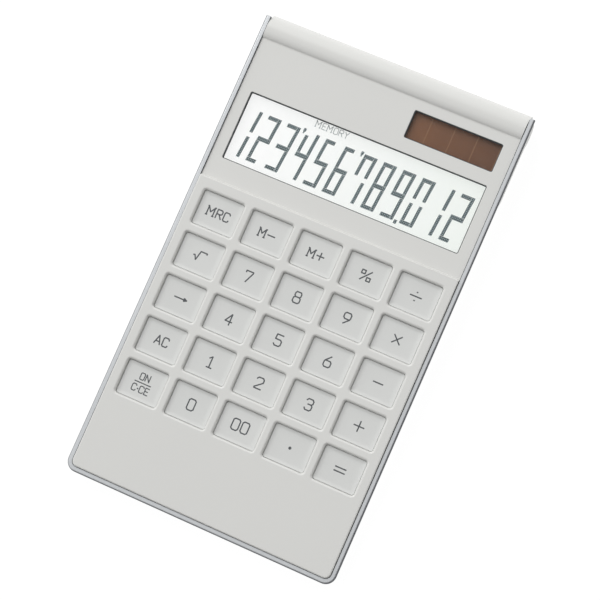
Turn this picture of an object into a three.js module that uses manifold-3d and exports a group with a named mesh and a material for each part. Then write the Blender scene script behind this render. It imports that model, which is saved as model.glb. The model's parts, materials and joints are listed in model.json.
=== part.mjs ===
// A slim desk calculator: a flat body on a slight slope, with a rounded roll along its rear edge.
// Units are millimetres, +Z is up, +Y points to the rear, and the feet stand on z = 0. Pieces of one
// solid run into one another by JOIN, and cutters reach PAST, which is beyond the whole body.
//
// Everything but the feet is laid out on the deck: x runs across from the middle, y runs back from
// the front edge, and z = 0 is the top of the silver side frame. The deck is then tilted as a whole.
import * as THREE from 'three';
import { mergeVertices } from 'three/addons/utils/BufferGeometryUtils.js';
import Module from 'manifold-3d';

// ---- driving dimensions -------------------------------------------------------------------------

const TILT = THREE.MathUtils.degToRad(1.65);

// body
const BODY_HALF_W = 51.6;
const BODY_CORNER_R = 4;
const FRAME_LENGTH = 174.9;
const FRAME_WALL = 1.8;
const FRAME_DEPTH = 3.6;
const FRAME_TUCK = 0.9;
const FRAME_TUCK_FROM_Z = -1;
const FRAME_RIM = 0.6;
const PANEL_HALF_W = 49.65;
const PANEL_FRONT_Y = 1.95;
const PANEL_CORNER_R = 2.1;
const KEY_PANEL_Z = 0.8;
const DISPLAY_PANEL_Z = -0.6;
const STEP_Y = 113.5;
const STEP_RUN = 0.3;
const PANEL_T = 1.6;
const DISPLAY_T = 1.5;
const SHELL_T = 1.4;
const SHELL_INNER_R = 0.8;
const PARTING_Z = -3.7;
const PARTING_GAP = 0.1;

// lower shell
const SLAB_BOTTOM_Z = -6.6;
const FLOOR_TOP_Z = -5.1;
const BAY_FRONT_Y = 142;
const BAY_SLOPE_RUN = 3.5;
const BAY_BOTTOM_Z = -9.4;
const BAY_FLOOR_Z = -7.4;

// rear roll
const ROLL_Y = 170.5;
const ROLL_Z = -5.5;
const ROLL_R = 6;
const ROLL_INNER_R = 4.6;
const CREASE_Y = 166.7;
const CREASE_EASE = 1;

// keys
const KEY_COLUMNS = 5;
const KEY_ROWS = 5;
const COLUMN_PITCH = 19;
const ROW_PITCH = 16.25;
const WELL_W = 15.7;
const WELL_L = 12.8;
const WELL_R = 0.9;
const WELL_CHAMFER = 0.7;
const FIRST_ROW_Y = 102.65;
const KEY_GAP = 0.2;
const KEY_TOP_Z = -0.4;
const KEY_FLANGE_TOP_Z = -1.15;
const KEY_BOTTOM_Z = -1.75;
const KEY_FLANGE_LIP = 0.6;

// keypad mat and board
const DOME_TOP_Z = -1.9;
const MAT_TOP_Z = -3.2;
const MAT_BOTTOM_Z = -3.8;
const MAT_HALF_W = 47;
const MAT_FRONT_Y = 29.6;
const MAT_REAR_Y = 110.2;
const MAT_CORNER_R = 2;
const DOME_BASE_R = 4.2;
const DOME_TOP_R = 2.6;
const DOME_WALL = 0.5;
const DOME_FACES = 8;
const BOARD_TOP_Z = -3.9;
const BOARD_BOTTOM_Z = -4.9;
const BOARD_HALF_W = 46.6;
const BOARD_FRONT_Y = 28.5;
const BOARD_REAR_Y = 149;
const TONGUE_X = [-11, 8];
const TONGUE_REAR_Y = 163;
const CHIP_X = -1.5;
const CHIP_Y = 156.5;
const CHIP_R = 5;
const CHIP_TOP_R = 3.4;
const CHIP_H = 0.95;
const CAPACITOR_X = 13;
const CAPACITOR_Y = 158;
const CAPACITOR_Z = -5.7;
const CAPACITOR_R = 1.6;
const CAPACITOR_L = 5;
const FILM_GAP = 0.05;

// display and solar cell
const LCD_Y = 134.6;
const LCD_W = 90.7;
const LCD_L = 25.8;
const LCD_R = 0.6;
const LENS_TOP_Z = -0.75;
const LENS_GAP = 0.15;
const LENS_FLANGE = 1.3;
const LENS_FLANGE_TOP_Z = -2.2;
const LENS_FLANGE_BOTTOM_Z = -2.5;
const GLASS_HALF_W = 46;
const GLASS_HALF_L = 13.4;
const GLASS_LEDGE = 1.4;
const GLASS_TOP_Z = -2.6;
const GLASS_LEDGE_Z = -2.95;
const GLASS_BOTTOM_Z = -3.2;
const REFLECTOR_MARGIN = 0.2;
const REFLECTOR_T = 0.15;
const HOLDER_W = 95.2;
const HOLDER_L = 31.2;
const HOLDER_BOTTOM_Z = -3.6;
const HOLDER_OPENING_W = 92.4;
const HOLDER_OPENING_L = 29.3;
const HOLDER_OPENING_SHIFT = 0.4;
const RIBBON_HALF_W = 36;
const RIBBON_T = 0.16;
const RIBBON_Y = [111.2, 116.6, 117.6, 121.1];
const RIBBON_TOP_Z = -2.99;
const SOLAR_X = 28.15;
const SOLAR_Y = 157.75;
const SOLAR_W = 33.5;
const SOLAR_L = 10.5;
const SOLAR_R = 0.6;
const SOLAR_CELL_MARGIN = 0.7;
const SOLAR_CELL_BOTTOM_Z = -3.7;
const FLEX_HALF_W = 4;
const FLEX_X = SOLAR_X - 8;
const FLEX_T = 0.15;
const FLEX_Y = [144, 149.2, 150.2, 157];

// battery
const BATTERY_X = -22;
const BATTERY_Y = 155;
const BATTERY_R = 5.8;
const BATTERY_BOTTOM_Z = -8.1;
const BATTERY_TOP_Z = -5.05;
const COVER_R = 8.6;
const COVER_T = 1.15;
const COVER_NECK_R = 6.85;
const COVER_HOLE_R = 7;
const CELL_SEAT_Z = -8.15;
const COVER_OPEN_ANGLE = 60;
const COVER_GAP = 0.15;
const LUG_HALF_W = 1.5;
const LUG_INSET = 0.6;
const LUG_T = 0.6;
const SLOT_HALF_L = 5.5;
const SLOT_HALF_W = 0.7;
const SLOT_DEPTH = 0.6;
const BATTERY_STEP = 0.9;
const BATTERY_CAP_H = 0.4;
const CONTACT_T = 0.2;
const CONTACT_HALF_W = 2;
const CONTACT_GAP = 0.1;
const MINUS_Y = [146, 149.3, 150.4, 158];
const PLUS_Y = [146, 157.5];
const PLUS_Z = [-6.4, -5.1];
const PLUS_TAB_W = 4;
const PLUS_TAB_REAR_Y = 148.6;
const PLUS_TAB_Z = [-5.3, -5];

// fasteners and feet
const SCREW_HEAD_R = 1.9;
const SCREW_HEAD_T = 0.8;
const SCREW_SHANK_R = 0.95;
const SCREW_POST_R = 2.2;
const SCREW_LENGTH_IN_POST = 2.3;
const SCREW_HEAD_TAPER = 0.82;
const SCREW_GAP = 0.15;
const PILOT_GAP = 0.1;
const PILOT_DEPTH = 2.6;
const POST_GAP = 0.15;
const ROLL_POST_GAP = 0.75;
const FRONT_SCREW = [41, 21];
const MIDDLE_SCREW = [43, 116.5];
const REAR_SCREW = [30, ROLL_Y];
const FRONT_FOOT = [41, 9.5];
const REAR_FOOT_X = 42;
const FRONT_FOOT_R = 4.5;
const REAR_FOOT_W = 12;
const REAR_FOOT_L = 4.4;
const REAR_FOOT_R = 0.8;
const REAR_FOOT_LIFT = 0.5;
const FOOT_EDGE = 0.4;
const FOOT_SINK = 0.35;
const REAR_FOOT_SINK = 0.55;
const FOOT_POCKET_GAP = 0.2;
const FOOT_POCKET_DEPTH = 0.7;

// modelling
const FACES_PER_ROUND = 24;
const FACES_PER_HEAD = 16;
const FACES_PER_POST = 12;
const FACES_PER_PILOT = 10;
const CORNER_SEGMENTS = 4;
const JOIN = 0.05;
const PAST = 250;

// ---- materials ----------------------------------------------------------------------------------

function finish(color, roughness, metalness) {
  return new THREE.MeshStandardMaterial({ color, roughness, metalness });
}

const CASE_GREY = finish(0xd5d5d0, 0.45, 0);
const KEY_GREY = finish(0xcdcecc, 0.5, 0);
const FRAME_SILVER = finish(0xb9bcbe, 0.3, 0.85);
const CLEAR_LENS = finish(0xe9eeee, 0.08, 0);
const CELL_GLASS = finish(0xd8dcd4, 0.15, 0);
const REFLECTOR_WHITE = finish(0xf4f6f3, 0.6, 0);
const SOLAR_BROWN = finish(0x6b4a38, 0.2, 0);
const HOLDER_WHITE = finish(0xe2e2dc, 0.6, 0);
const BOARD_GREEN = finish(0x2f6a45, 0.5, 0);
const RESIN_BLACK = finish(0x17171a, 0.35, 0);
const SILICONE_GREY = finish(0x9fa3a4, 0.7, 0);
const FLEX_AMBER = finish(0xb57a2c, 0.4, 0);
const STEEL = finish(0xb4b7ba, 0.3, 1);
const NICKEL = finish(0xc9c8c0, 0.25, 1);
const RUBBER_GREY = finish(0x3c3d40, 0.85, 0);
const CAN_SLEEVE = finish(0x24304a, 0.4, 0);

// ---- making solids ------------------------------------------------------------------------------

const wasm = await Module();
wasm.setup();

function solid(geometry) {
  const bare = geometry.clone();
  bare.deleteAttribute('normal');
  bare.deleteAttribute('uv');
  const merged = mergeVertices(bare, 1e-4);
  return new wasm.Manifold(new wasm.Mesh({
    numProp: 3,
    vertProperties: merged.attributes.position.array,
    triVerts: Uint32Array.from(merged.index.array),
  }));
}

function geometryOf(body) {
  const mesh = body.getMesh();
  const geometry = new THREE.BufferGeometry();
  geometry.setAttribute('position', new THREE.BufferAttribute(mesh.vertProperties, 3));
  geometry.setIndex(new THREE.BufferAttribute(mesh.triVerts, 1));
  return geometry;
}

function named(name, body, material) {
  const mesh = new THREE.Mesh(geometryOf(body), material);
  mesh.name = name;
  return mesh;
}

// A rectangle with rounded corners, centred on (x, y).
function roundedRect(x, y, width, length, radius) {
  const left = x - width / 2;
  const right = x + width / 2;
  const front = y - length / 2;
  const rear = y + length / 2;
  const shape = new THREE.Shape();
  shape.moveTo(left + radius, front);
  shape.lineTo(right - radius, front);
  shape.absarc(right - radius, front + radius, radius, -Math.PI / 2, 0);
  shape.lineTo(right, rear - radius);
  shape.absarc(right - radius, rear - radius, radius, 0, Math.PI / 2);
  shape.lineTo(left + radius, rear);
  shape.absarc(left + radius, rear - radius, radius, Math.PI / 2, Math.PI);
  shape.lineTo(left, front + radius);
  shape.absarc(left + radius, front + radius, radius, Math.PI, Math.PI * 1.5);
  return shape;
}

// A plan outline raised from one height to another.
function raised(shape, bottom, top, curveSegments = 1) {
  const depth = top - bottom;
  const geometry = new THREE.ExtrudeGeometry(shape, { depth, bevelEnabled: false, curveSegments });
  geometry.translate(0, 0, bottom);
  return solid(geometry);
}

// A plan outline that narrows by inset towards its bottom, full size from there up to top.
function tucked(shape, bottom, fullFrom, top, inset, curveSegments = 1) {
  const geometry = new THREE.ExtrudeGeometry(shape, {
    depth: top - fullFrom + 1,
    bevelThickness: fullFrom - bottom,
    bevelSize: inset,
    bevelOffset: -inset,
    bevelSegments: 1,
    curveSegments,
  });
  geometry.translate(0, 0, fullFrom);
  return solid(geometry).subtract(block([-PAST, PAST], [-PAST, PAST], [top, PAST]));
}

// A plan outline with rounded front corners, which runs on past the rear of the body.
function frontRounded(frontY, halfWidth, radius) {
  return roundedRect(0, frontY + PAST / 2, halfWidth * 2, PAST, radius);
}

// A side outline in (y, z), stretched across from -halfWidth to halfWidth about x.
function across(shape, halfWidth, x = 0, curveSegments = 5) {
  const depth = halfWidth * 2;
  const geometry = new THREE.ExtrudeGeometry(shape, { depth, bevelEnabled: false, curveSegments });
  geometry.translate(0, 0, -halfWidth);
  const sideways = new THREE.Matrix4().makeBasis(
    new THREE.Vector3(0, 1, 0),
    new THREE.Vector3(0, 0, 1),
    new THREE.Vector3(1, 0, 0),
  );
  geometry.applyMatrix4(sideways);
  geometry.translate(x, 0, 0);
  return solid(geometry);
}

// A strip bent along a side line, given as its ys and zs, with its thickness above that line.
function bentStrip(ys, zs, thickness, halfWidth, x = 0) {
  const under = ys.map((y, index) => new THREE.Vector2(y, zs[index]));
  const over = ys.map((y, index) => new THREE.Vector2(y, zs[index] + thickness)).reverse();
  return across(new THREE.Shape([...under, ...over]), halfWidth, x);
}

function block([x0, x1], [y0, y1], [z0, z1]) {
  const geometry = new THREE.BoxGeometry(x1 - x0, y1 - y0, z1 - z0);
  geometry.translate((x0 + x1) / 2, (y0 + y1) / 2, (z0 + z1) / 2);
  return solid(geometry);
}

// An upright round bar; a second radius makes it a cone that has that radius at its top.
function round(x, y, radius, bottom, top, topRadius = radius, faces = FACES_PER_ROUND) {
  const geometry = new THREE.CylinderGeometry(topRadius, radius, top - bottom, faces);
  geometry.rotateX(Math.PI / 2);
  geometry.translate(x, y, (bottom + top) / 2);
  return solid(geometry);
}

function joined(bodies) {
  return bodies.reduce((sum, body) => sum.add(body));
}

// Left and right copies of a place that is given on the right.
function bothSides([x, y]) {
  return [[-x, y], [x, y]];
}

const SCREW_PLACES = [FRONT_SCREW, MIDDLE_SCREW, REAR_SCREW].flatMap(bothSides);

function floorBottomAt(y) {
  return y > ROLL_Y - 1 ? ROLL_Z - ROLL_R : SLAB_BOTTOM_Z;
}

// A post in the roll stops higher, clear of the roll's curved wall.
function postEndAt(y) {
  return floorTopAt(y) + (y > CREASE_Y ? ROLL_POST_GAP : POST_GAP);
}

function panelMiddleAt(y) {
  return y > STEP_Y && y < CREASE_Y ? DISPLAY_PANEL_Z - DISPLAY_T / 2 : KEY_PANEL_Z - PANEL_T * 0.75;
}

function floorTopAt(y) {
  return y > ROLL_Y - 1 ? ROLL_Z - ROLL_INNER_R : FLOOR_TOP_Z;
}

// ---- side frame ---------------------------------------------------------------------------------

function makeSideFrame() {
  const outline = frontRounded(0, BODY_HALF_W, BODY_CORNER_R);
  const body = tucked(outline, -FRAME_DEPTH, FRAME_TUCK_FROM_Z, -FRAME_RIM, FRAME_TUCK, CORNER_SEGMENTS);
  const lip = tucked(outline, -FRAME_RIM, 0, 1, FRAME_RIM, CORNER_SEGMENTS);
  const turned = lip.mirror([0, 0, 1]).translate([0, 0, -FRAME_RIM]);
  const crown = turned.intersect(block([-PAST, PAST], [-PAST, PAST], [-FRAME_RIM - JOIN, 0]));
  const pocket = frontRounded(FRAME_WALL, BODY_HALF_W - FRAME_WALL, BODY_CORNER_R - FRAME_WALL);
  return body
    .add(crown)
    .subtract(raised(pocket, -PAST, PAST, CORNER_SEGMENTS))
    .subtract(block([-PAST, PAST], [FRAME_LENGTH, PAST], [-PAST, PAST]));
}

// ---- top case -----------------------------------------------------------------------------------

function topOutline() {
  const bottom = PARTING_Z + PARTING_GAP;
  const rollTop = ROLL_Z + ROLL_R;
  const rollEnd = Math.asin((bottom - ROLL_Z) / ROLL_R);
  const shape = new THREE.Shape();
  shape.moveTo(PANEL_FRONT_Y, bottom);
  shape.lineTo(ROLL_Y + ROLL_R * Math.cos(rollEnd), bottom);
  shape.absarc(ROLL_Y, ROLL_Z, ROLL_R, rollEnd, Math.PI / 2);
  shape.bezierCurveTo(
    ROLL_Y - CREASE_EASE,
    rollTop,
    CREASE_Y + CREASE_EASE,
    DISPLAY_PANEL_Z,
    CREASE_Y,
    DISPLAY_PANEL_Z,
  );
  shape.lineTo(STEP_Y + STEP_RUN / 2, DISPLAY_PANEL_Z);
  shape.lineTo(STEP_Y - STEP_RUN / 2, KEY_PANEL_Z);
  shape.lineTo(PANEL_FRONT_Y, KEY_PANEL_Z);
  return shape;
}

function topHollow() {
  const inside = PANEL_FRONT_Y + SHELL_T;
  const displayUnder = DISPLAY_PANEL_Z - DISPLAY_T;
  const shape = new THREE.Shape();
  shape.moveTo(inside, ROLL_Z);
  shape.lineTo(ROLL_Y + ROLL_INNER_R, ROLL_Z);
  shape.absarc(ROLL_Y, ROLL_Z, ROLL_INNER_R, 0, Math.PI / 2);
  shape.lineTo(CREASE_Y, displayUnder);
  shape.lineTo(STEP_Y - STEP_RUN / 2, displayUnder);
  shape.lineTo(STEP_Y - STEP_RUN / 2 - SHELL_T, KEY_PANEL_Z - PANEL_T);
  shape.lineTo(inside, KEY_PANEL_Z - PANEL_T);
  return shape;
}

function keyCentre(column, row) {
  return [(column - (KEY_COLUMNS - 1) / 2) * COLUMN_PITCH, FIRST_ROW_Y - row * ROW_PITCH];
}

function everyKey(make) {
  const made = [];
  for (let row = 0; row < KEY_ROWS; row += 1) {
    for (let column = 0; column < KEY_COLUMNS; column += 1) {
      made.push(make(...keyCentre(column, row), row, column));
    }
  }
  return made;
}

// A hollow's side outline, stretched across between the inner faces of the shell's side walls.
function insideOf(hollow) {
  const plan = frontRounded(PANEL_FRONT_Y + SHELL_T, PANEL_HALF_W - SHELL_T, SHELL_INNER_R);
  return across(hollow, BODY_HALF_W).intersect(raised(plan, -PAST, PAST));
}

// The cutter for one key well: straight walls with a chamfered top edge.
function keyWell(x, y) {
  const mouthW = WELL_W + 2 * WELL_CHAMFER;
  const mouthL = WELL_L + 2 * WELL_CHAMFER;
  const shape = roundedRect(x, y, mouthW, mouthL, WELL_R + WELL_CHAMFER);
  const walls = roundedRect(x, y, WELL_W, WELL_L, WELL_R);
  const mouth = KEY_PANEL_Z - WELL_CHAMFER;
  const edge = tucked(shape, mouth, KEY_PANEL_Z, KEY_PANEL_Z + 1, WELL_CHAMFER);
  return edge.add(raised(walls, KEY_PANEL_Z - 2 * PANEL_T, mouth + JOIN));
}

function makeTopCase() {
  const plan = frontRounded(PANEL_FRONT_Y, PANEL_HALF_W, PANEL_CORNER_R);
  const outer = across(topOutline(), BODY_HALF_W).intersect(raised(plan, -PAST, PAST, CORNER_SEGMENTS));
  const pilotR = SCREW_SHANK_R + PILOT_GAP;
  const posts = SCREW_PLACES.map(([x, y]) => (
    round(x, y, SCREW_POST_R, postEndAt(y), panelMiddleAt(y), SCREW_POST_R, FACES_PER_POST)
  ));
  const pilots = SCREW_PLACES.map(([x, y]) => (
    round(x, y, pilotR, floorTopAt(y) - 1, floorTopAt(y) + PILOT_DEPTH, pilotR, FACES_PER_PILOT)
  ));
  const panelUnder = DISPLAY_PANEL_Z - 2 * DISPLAY_T;
  return outer
    .subtract(insideOf(topHollow()))
    .add(joined(posts))
    .subtract(joined(pilots))
    .subtract(joined(everyKey(keyWell)))
    .subtract(raised(roundedRect(0, LCD_Y, LCD_W, LCD_L, LCD_R), panelUnder, KEY_PANEL_Z))
    .subtract(raised(roundedRect(SOLAR_X, SOLAR_Y, SOLAR_W, SOLAR_L, SOLAR_R), panelUnder, KEY_PANEL_Z));
}

// ---- bottom case --------------------------------------------------------------------------------

function bottomOutline() {
  const top = PARTING_Z - PARTING_GAP;
  const rollStart = Math.asin((top - ROLL_Z) / ROLL_R);
  const bayMeets = Math.PI + Math.asin((ROLL_Z - BAY_BOTTOM_Z) / ROLL_R);
  const shape = new THREE.Shape();
  shape.moveTo(0, top);
  shape.lineTo(0, SLAB_BOTTOM_Z);
  shape.lineTo(BAY_FRONT_Y, SLAB_BOTTOM_Z);
  shape.lineTo(BAY_FRONT_Y + BAY_SLOPE_RUN, BAY_BOTTOM_Z);
  shape.lineTo(ROLL_Y + ROLL_R * Math.cos(bayMeets), BAY_BOTTOM_Z);
  shape.absarc(ROLL_Y, ROLL_Z, ROLL_R, bayMeets, Math.PI * 2 + rollStart);
  return shape;
}

function bottomHollow() {
  const top = PARTING_Z + 1;
  const inside = PANEL_FRONT_Y + SHELL_T;
  const bayMeets = Math.PI + Math.asin((ROLL_Z - BAY_FLOOR_Z) / ROLL_INNER_R);
  const shape = new THREE.Shape();
  shape.moveTo(inside, top);
  shape.lineTo(inside, FLOOR_TOP_Z);
  shape.lineTo(BAY_FRONT_Y, FLOOR_TOP_Z);
  shape.lineTo(BAY_FRONT_Y + BAY_SLOPE_RUN, BAY_FLOOR_Z);
  shape.lineTo(ROLL_Y + ROLL_INNER_R * Math.cos(bayMeets), BAY_FLOOR_Z);
  shape.absarc(ROLL_Y, ROLL_Z, ROLL_INNER_R, bayMeets, Math.PI * 2);
  shape.lineTo(ROLL_Y + ROLL_INNER_R, top);
  return shape;
}

function makeBottomCase() {
  const tuck = BODY_HALF_W - FRAME_TUCK - PANEL_HALF_W;
  const plan = frontRounded(FRAME_TUCK, BODY_HALF_W - FRAME_TUCK, BODY_CORNER_R - FRAME_TUCK);
  const top = PARTING_Z - PARTING_GAP;
  const hull = tucked(plan, SLAB_BOTTOM_Z, top, top + 1, tuck, CORNER_SEGMENTS);
  const deep = block([-PANEL_HALF_W, PANEL_HALF_W], [BAY_FRONT_Y - 1, PAST], [-PAST, SLAB_BOTTOM_Z + JOIN]);
  const outer = across(bottomOutline(), BODY_HALF_W).intersect(hull.add(deep));
  const sideCuts = [-1, 1].map((side) => {
    const edges = [side * PANEL_HALF_W, side * PAST].sort((a, b) => a - b);
    return block(edges, [FRAME_LENGTH - PARTING_GAP, PAST], [-PAST, PAST]);
  });
  const holeR = SCREW_SHANK_R + SCREW_GAP;
  const headHoleR = SCREW_HEAD_R + SCREW_GAP;
  const screwHoles = SCREW_PLACES.flatMap(([x, y]) => [
    round(x, y, holeR, -PAST, 0, holeR, FACES_PER_PILOT),
    round(x, y, headHoleR, -PAST, floorBottomAt(y) + SCREW_HEAD_T + PILOT_GAP, headHoleR, FACES_PER_HEAD),
  ]);
  const notches = block(
    [BATTERY_X - COVER_R + COVER_GAP, BATTERY_X + COVER_R - COVER_GAP],
    [BATTERY_Y - LUG_HALF_W - 2 * COVER_GAP, BATTERY_Y + LUG_HALF_W + 2 * COVER_GAP],
    [-PAST, 0],
  );
  const seatTop = BAY_BOTTOM_Z + COVER_T + COVER_GAP;
  const coverSeat = round(BATTERY_X, BATTERY_Y, COVER_R + COVER_GAP, -PAST, seatTop);
  const cellHole = round(BATTERY_X, BATTERY_Y, COVER_HOLE_R, -PAST, BAY_FLOOR_Z + 1);
  return outer
    .subtract(insideOf(bottomHollow()))
    .subtract(joined(sideCuts))
    .subtract(joined(screwHoles))
    .subtract(coverSeat)
    .subtract(cellHole)
    .subtract(turnedAboutCell(notches, COVER_OPEN_ANGLE))
    .subtract(joined(footPockets()));
}

// ---- display ------------------------------------------------------------------------------------

// A clear window: a plate that fills its opening, on a wider flange under the panel.
function lens(x, y, width, length, radius) {
  const plate = roundedRect(x, y, width - 2 * LENS_GAP, length - 2 * LENS_GAP, radius - LENS_GAP);
  const flange = roundedRect(x, y, width + 2 * LENS_FLANGE, length + 2 * LENS_FLANGE, radius + LENS_FLANGE);
  return raised(plate, LENS_FLANGE_TOP_Z - JOIN, LENS_TOP_Z)
    .add(raised(flange, LENS_FLANGE_BOTTOM_Z, LENS_FLANGE_TOP_Z));
}

// The cell's upper sheet has a ledge at the front, which carries the contacts for the ribbon.
function makeLcdGlass() {
  const front = LCD_Y - GLASS_HALF_L;
  const sides = [-GLASS_HALF_W, GLASS_HALF_W];
  const cell = block(sides, [front, LCD_Y + GLASS_HALF_L], [GLASS_BOTTOM_Z, GLASS_TOP_Z]);
  return cell.add(block(sides, [front - GLASS_LEDGE, front + JOIN], [GLASS_LEDGE_Z, GLASS_TOP_Z]));
}

function makeLcdReflector() {
  const halfWidth = GLASS_HALF_W - REFLECTOR_MARGIN;
  const halfLength = GLASS_HALF_L - REFLECTOR_MARGIN;
  const top = GLASS_BOTTOM_Z - FILM_GAP;
  return block([-halfWidth, halfWidth], [LCD_Y - halfLength, LCD_Y + halfLength], [top - REFLECTOR_T, top]);
}

function makeLcdHolder() {
  const outer = roundedRect(0, LCD_Y, HOLDER_W, HOLDER_L, 1);
  const openingY = LCD_Y - HOLDER_OPENING_SHIFT;
  const inner = roundedRect(0, openingY, HOLDER_OPENING_W, HOLDER_OPENING_L, HOLDER_OPENING_SHIFT);
  const notchHalfW = RIBBON_HALF_W + 4 * RIBBON_T;
  const ribbonNotch = block([-notchHalfW, notchHalfW], [LCD_Y - HOLDER_L, LCD_Y - GLASS_HALF_L], [-PAST, 0]);
  return raised(outer, HOLDER_BOTTOM_Z, GLASS_TOP_Z)
    .subtract(raised(inner, -PAST, PAST))
    .subtract(ribbonNotch);
}

function makeLcdRibbon() {
  const low = BOARD_TOP_Z + FILM_GAP;
  const high = RIBBON_TOP_Z - RIBBON_T;
  return bentStrip(RIBBON_Y, [low, low, high, high], RIBBON_T, RIBBON_HALF_W);
}

// ---- solar cell ---------------------------------------------------------------------------------

function makeSolarCell() {
  const halfWidth = SOLAR_W / 2 + SOLAR_CELL_MARGIN;
  const halfLength = SOLAR_L / 2 + SOLAR_CELL_MARGIN;
  return block(
    [SOLAR_X - halfWidth, SOLAR_X + halfWidth],
    [SOLAR_Y - halfLength, SOLAR_Y + halfLength],
    [SOLAR_CELL_BOTTOM_Z, GLASS_TOP_Z],
  );
}

function makeSolarFlex() {
  const low = BOARD_TOP_Z + FILM_GAP;
  const high = SOLAR_CELL_BOTTOM_Z - 2 * FILM_GAP - FLEX_T;
  return bentStrip(FLEX_Y, [low, low, high, high], FLEX_T, FLEX_HALF_W, FLEX_X);
}

// ---- keypad -------------------------------------------------------------------------------------

function makeKey(x, y) {
  const width = WELL_W - 2 * KEY_GAP;
  const length = WELL_L - 2 * KEY_GAP;
  const cap = roundedRect(x, y, width, length, WELL_R - KEY_GAP / 2);
  const flange = roundedRect(x, y, WELL_W + 2 * KEY_FLANGE_LIP, WELL_L + 2 * KEY_FLANGE_LIP, WELL_R);
  return raised(cap, KEY_FLANGE_TOP_Z - JOIN, KEY_TOP_Z)
    .add(raised(flange, KEY_BOTTOM_Z, KEY_FLANGE_TOP_Z));
}

function makeKeypadMat() {
  const length = MAT_REAR_Y - MAT_FRONT_Y;
  const sheet = roundedRect(0, MAT_FRONT_Y + length / 2, MAT_HALF_W * 2, length, MAT_CORNER_R);
  const innerR = DOME_BASE_R - DOME_WALL;
  const innerTopR = DOME_TOP_R - DOME_WALL;
  const domes = everyKey((x, y) => (
    round(x, y, DOME_BASE_R, MAT_TOP_Z - JOIN, DOME_TOP_Z, DOME_TOP_R, DOME_FACES)
  ));
  const hollows = everyKey((x, y) => (
    round(x, y, innerR, MAT_BOTTOM_Z - JOIN, DOME_TOP_Z - DOME_WALL, innerTopR, DOME_FACES)
  ));
  return raised(sheet, MAT_BOTTOM_Z, MAT_TOP_Z).add(joined(domes)).subtract(joined(hollows));
}

function makeMainBoard() {
  const length = BOARD_REAR_Y - BOARD_FRONT_Y;
  const outline = roundedRect(0, BOARD_FRONT_Y + length / 2, BOARD_HALF_W * 2, length, 1);
  const holeR = SCREW_POST_R + 2 * POST_GAP;
  const holes = bothSides(MIDDLE_SCREW).map(([x, y]) => (
    round(x, y, holeR, -PAST, 0, holeR, FACES_PER_POST)
  ));
  const tongue = block(TONGUE_X, [BOARD_REAR_Y - JOIN, TONGUE_REAR_Y], [BOARD_BOTTOM_Z, BOARD_TOP_Z]);
  return raised(outline, BOARD_BOTTOM_Z, BOARD_TOP_Z).add(tongue).subtract(joined(holes));
}

function makeChipCover() {
  const bottom = BOARD_TOP_Z + FILM_GAP;
  return round(CHIP_X, CHIP_Y, CHIP_R, bottom, bottom + CHIP_H, CHIP_TOP_R);
}

// ---- battery ------------------------------------------------------------------------------------

function turnedAboutCell(body, degrees) {
  return body
    .translate([-BATTERY_X, -BATTERY_Y, 0])
    .rotate([0, 0, degrees])
    .translate([BATTERY_X, BATTERY_Y, 0]);
}

function makeBattery() {
  const canTop = BATTERY_TOP_Z - BATTERY_CAP_H;
  const can = round(BATTERY_X, BATTERY_Y, BATTERY_R, BATTERY_BOTTOM_Z, canTop);
  return can.add(round(BATTERY_X, BATTERY_Y, BATTERY_R - BATTERY_STEP, canTop - JOIN, BATTERY_TOP_Z));
}

function makeBatteryCover() {
  const lugBottom = BAY_FLOOR_Z + COVER_GAP;
  const lugTop = lugBottom + LUG_T;
  const discTop = BAY_BOTTOM_Z + COVER_T;
  const disc = round(BATTERY_X, BATTERY_Y, COVER_R, BAY_BOTTOM_Z, discTop);
  const neck = round(BATTERY_X, BATTERY_Y, COVER_NECK_R, discTop - JOIN, lugTop);
  const seat = round(BATTERY_X, BATTERY_Y, BATTERY_R + COVER_GAP, CELL_SEAT_Z, 0);
  const lugs = [-1, 1].map((side) => {
    const root = BATTERY_X + side * (BATTERY_R + 2 * COVER_GAP);
    const tip = BATTERY_X + side * (COVER_R - LUG_INSET);
    const edges = [root, tip].sort((a, b) => a - b);
    return block(edges, [BATTERY_Y - LUG_HALF_W, BATTERY_Y + LUG_HALF_W], [lugBottom, lugTop]);
  });
  const slot = block(
    [BATTERY_X - SLOT_HALF_L, BATTERY_X + SLOT_HALF_L],
    [BATTERY_Y - SLOT_HALF_W, BATTERY_Y + SLOT_HALF_W],
    [-PAST, BAY_BOTTOM_Z + SLOT_DEPTH],
  );
  return disc.add(neck).add(joined(lugs)).subtract(seat).subtract(slot);
}

function makeContactMinus() {
  const low = BOARD_BOTTOM_Z - FILM_GAP - CONTACT_T;
  const high = BATTERY_TOP_Z + CONTACT_GAP;
  return bentStrip(MINUS_Y, [low, low, high, high], CONTACT_T, CONTACT_HALF_W, BATTERY_X);
}

function makeContactPlus() {
  const side = BATTERY_X + BATTERY_R + CONTACT_GAP;
  const spring = block([side, side + CONTACT_T], PLUS_Y, PLUS_Z);
  const tab = block([side, side + PLUS_TAB_W], [PLUS_Y[0], PLUS_TAB_REAR_Y], PLUS_TAB_Z);
  return spring.add(tab);
}

function makeCapacitor() {
  const geometry = new THREE.CylinderGeometry(CAPACITOR_R, CAPACITOR_R, CAPACITOR_L, FACES_PER_ROUND);
  geometry.translate(CAPACITOR_X, CAPACITOR_Y, CAPACITOR_Z);
  return solid(geometry);
}

// ---- screws and feet ----------------------------------------------------------------------------

function makeScrew([x, y]) {
  const headBottom = floorBottomAt(y) + JOIN;
  const headTop = floorBottomAt(y) + SCREW_HEAD_T;
  const tip = floorTopAt(y) + SCREW_LENGTH_IN_POST;
  return round(x, y, SCREW_HEAD_R * SCREW_HEAD_TAPER, headBottom, headTop, SCREW_HEAD_R, FACES_PER_HEAD)
    .add(round(x, y, SCREW_SHANK_R, headTop - JOIN, tip, SCREW_SHANK_R, FACES_PER_PILOT));
}

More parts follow.
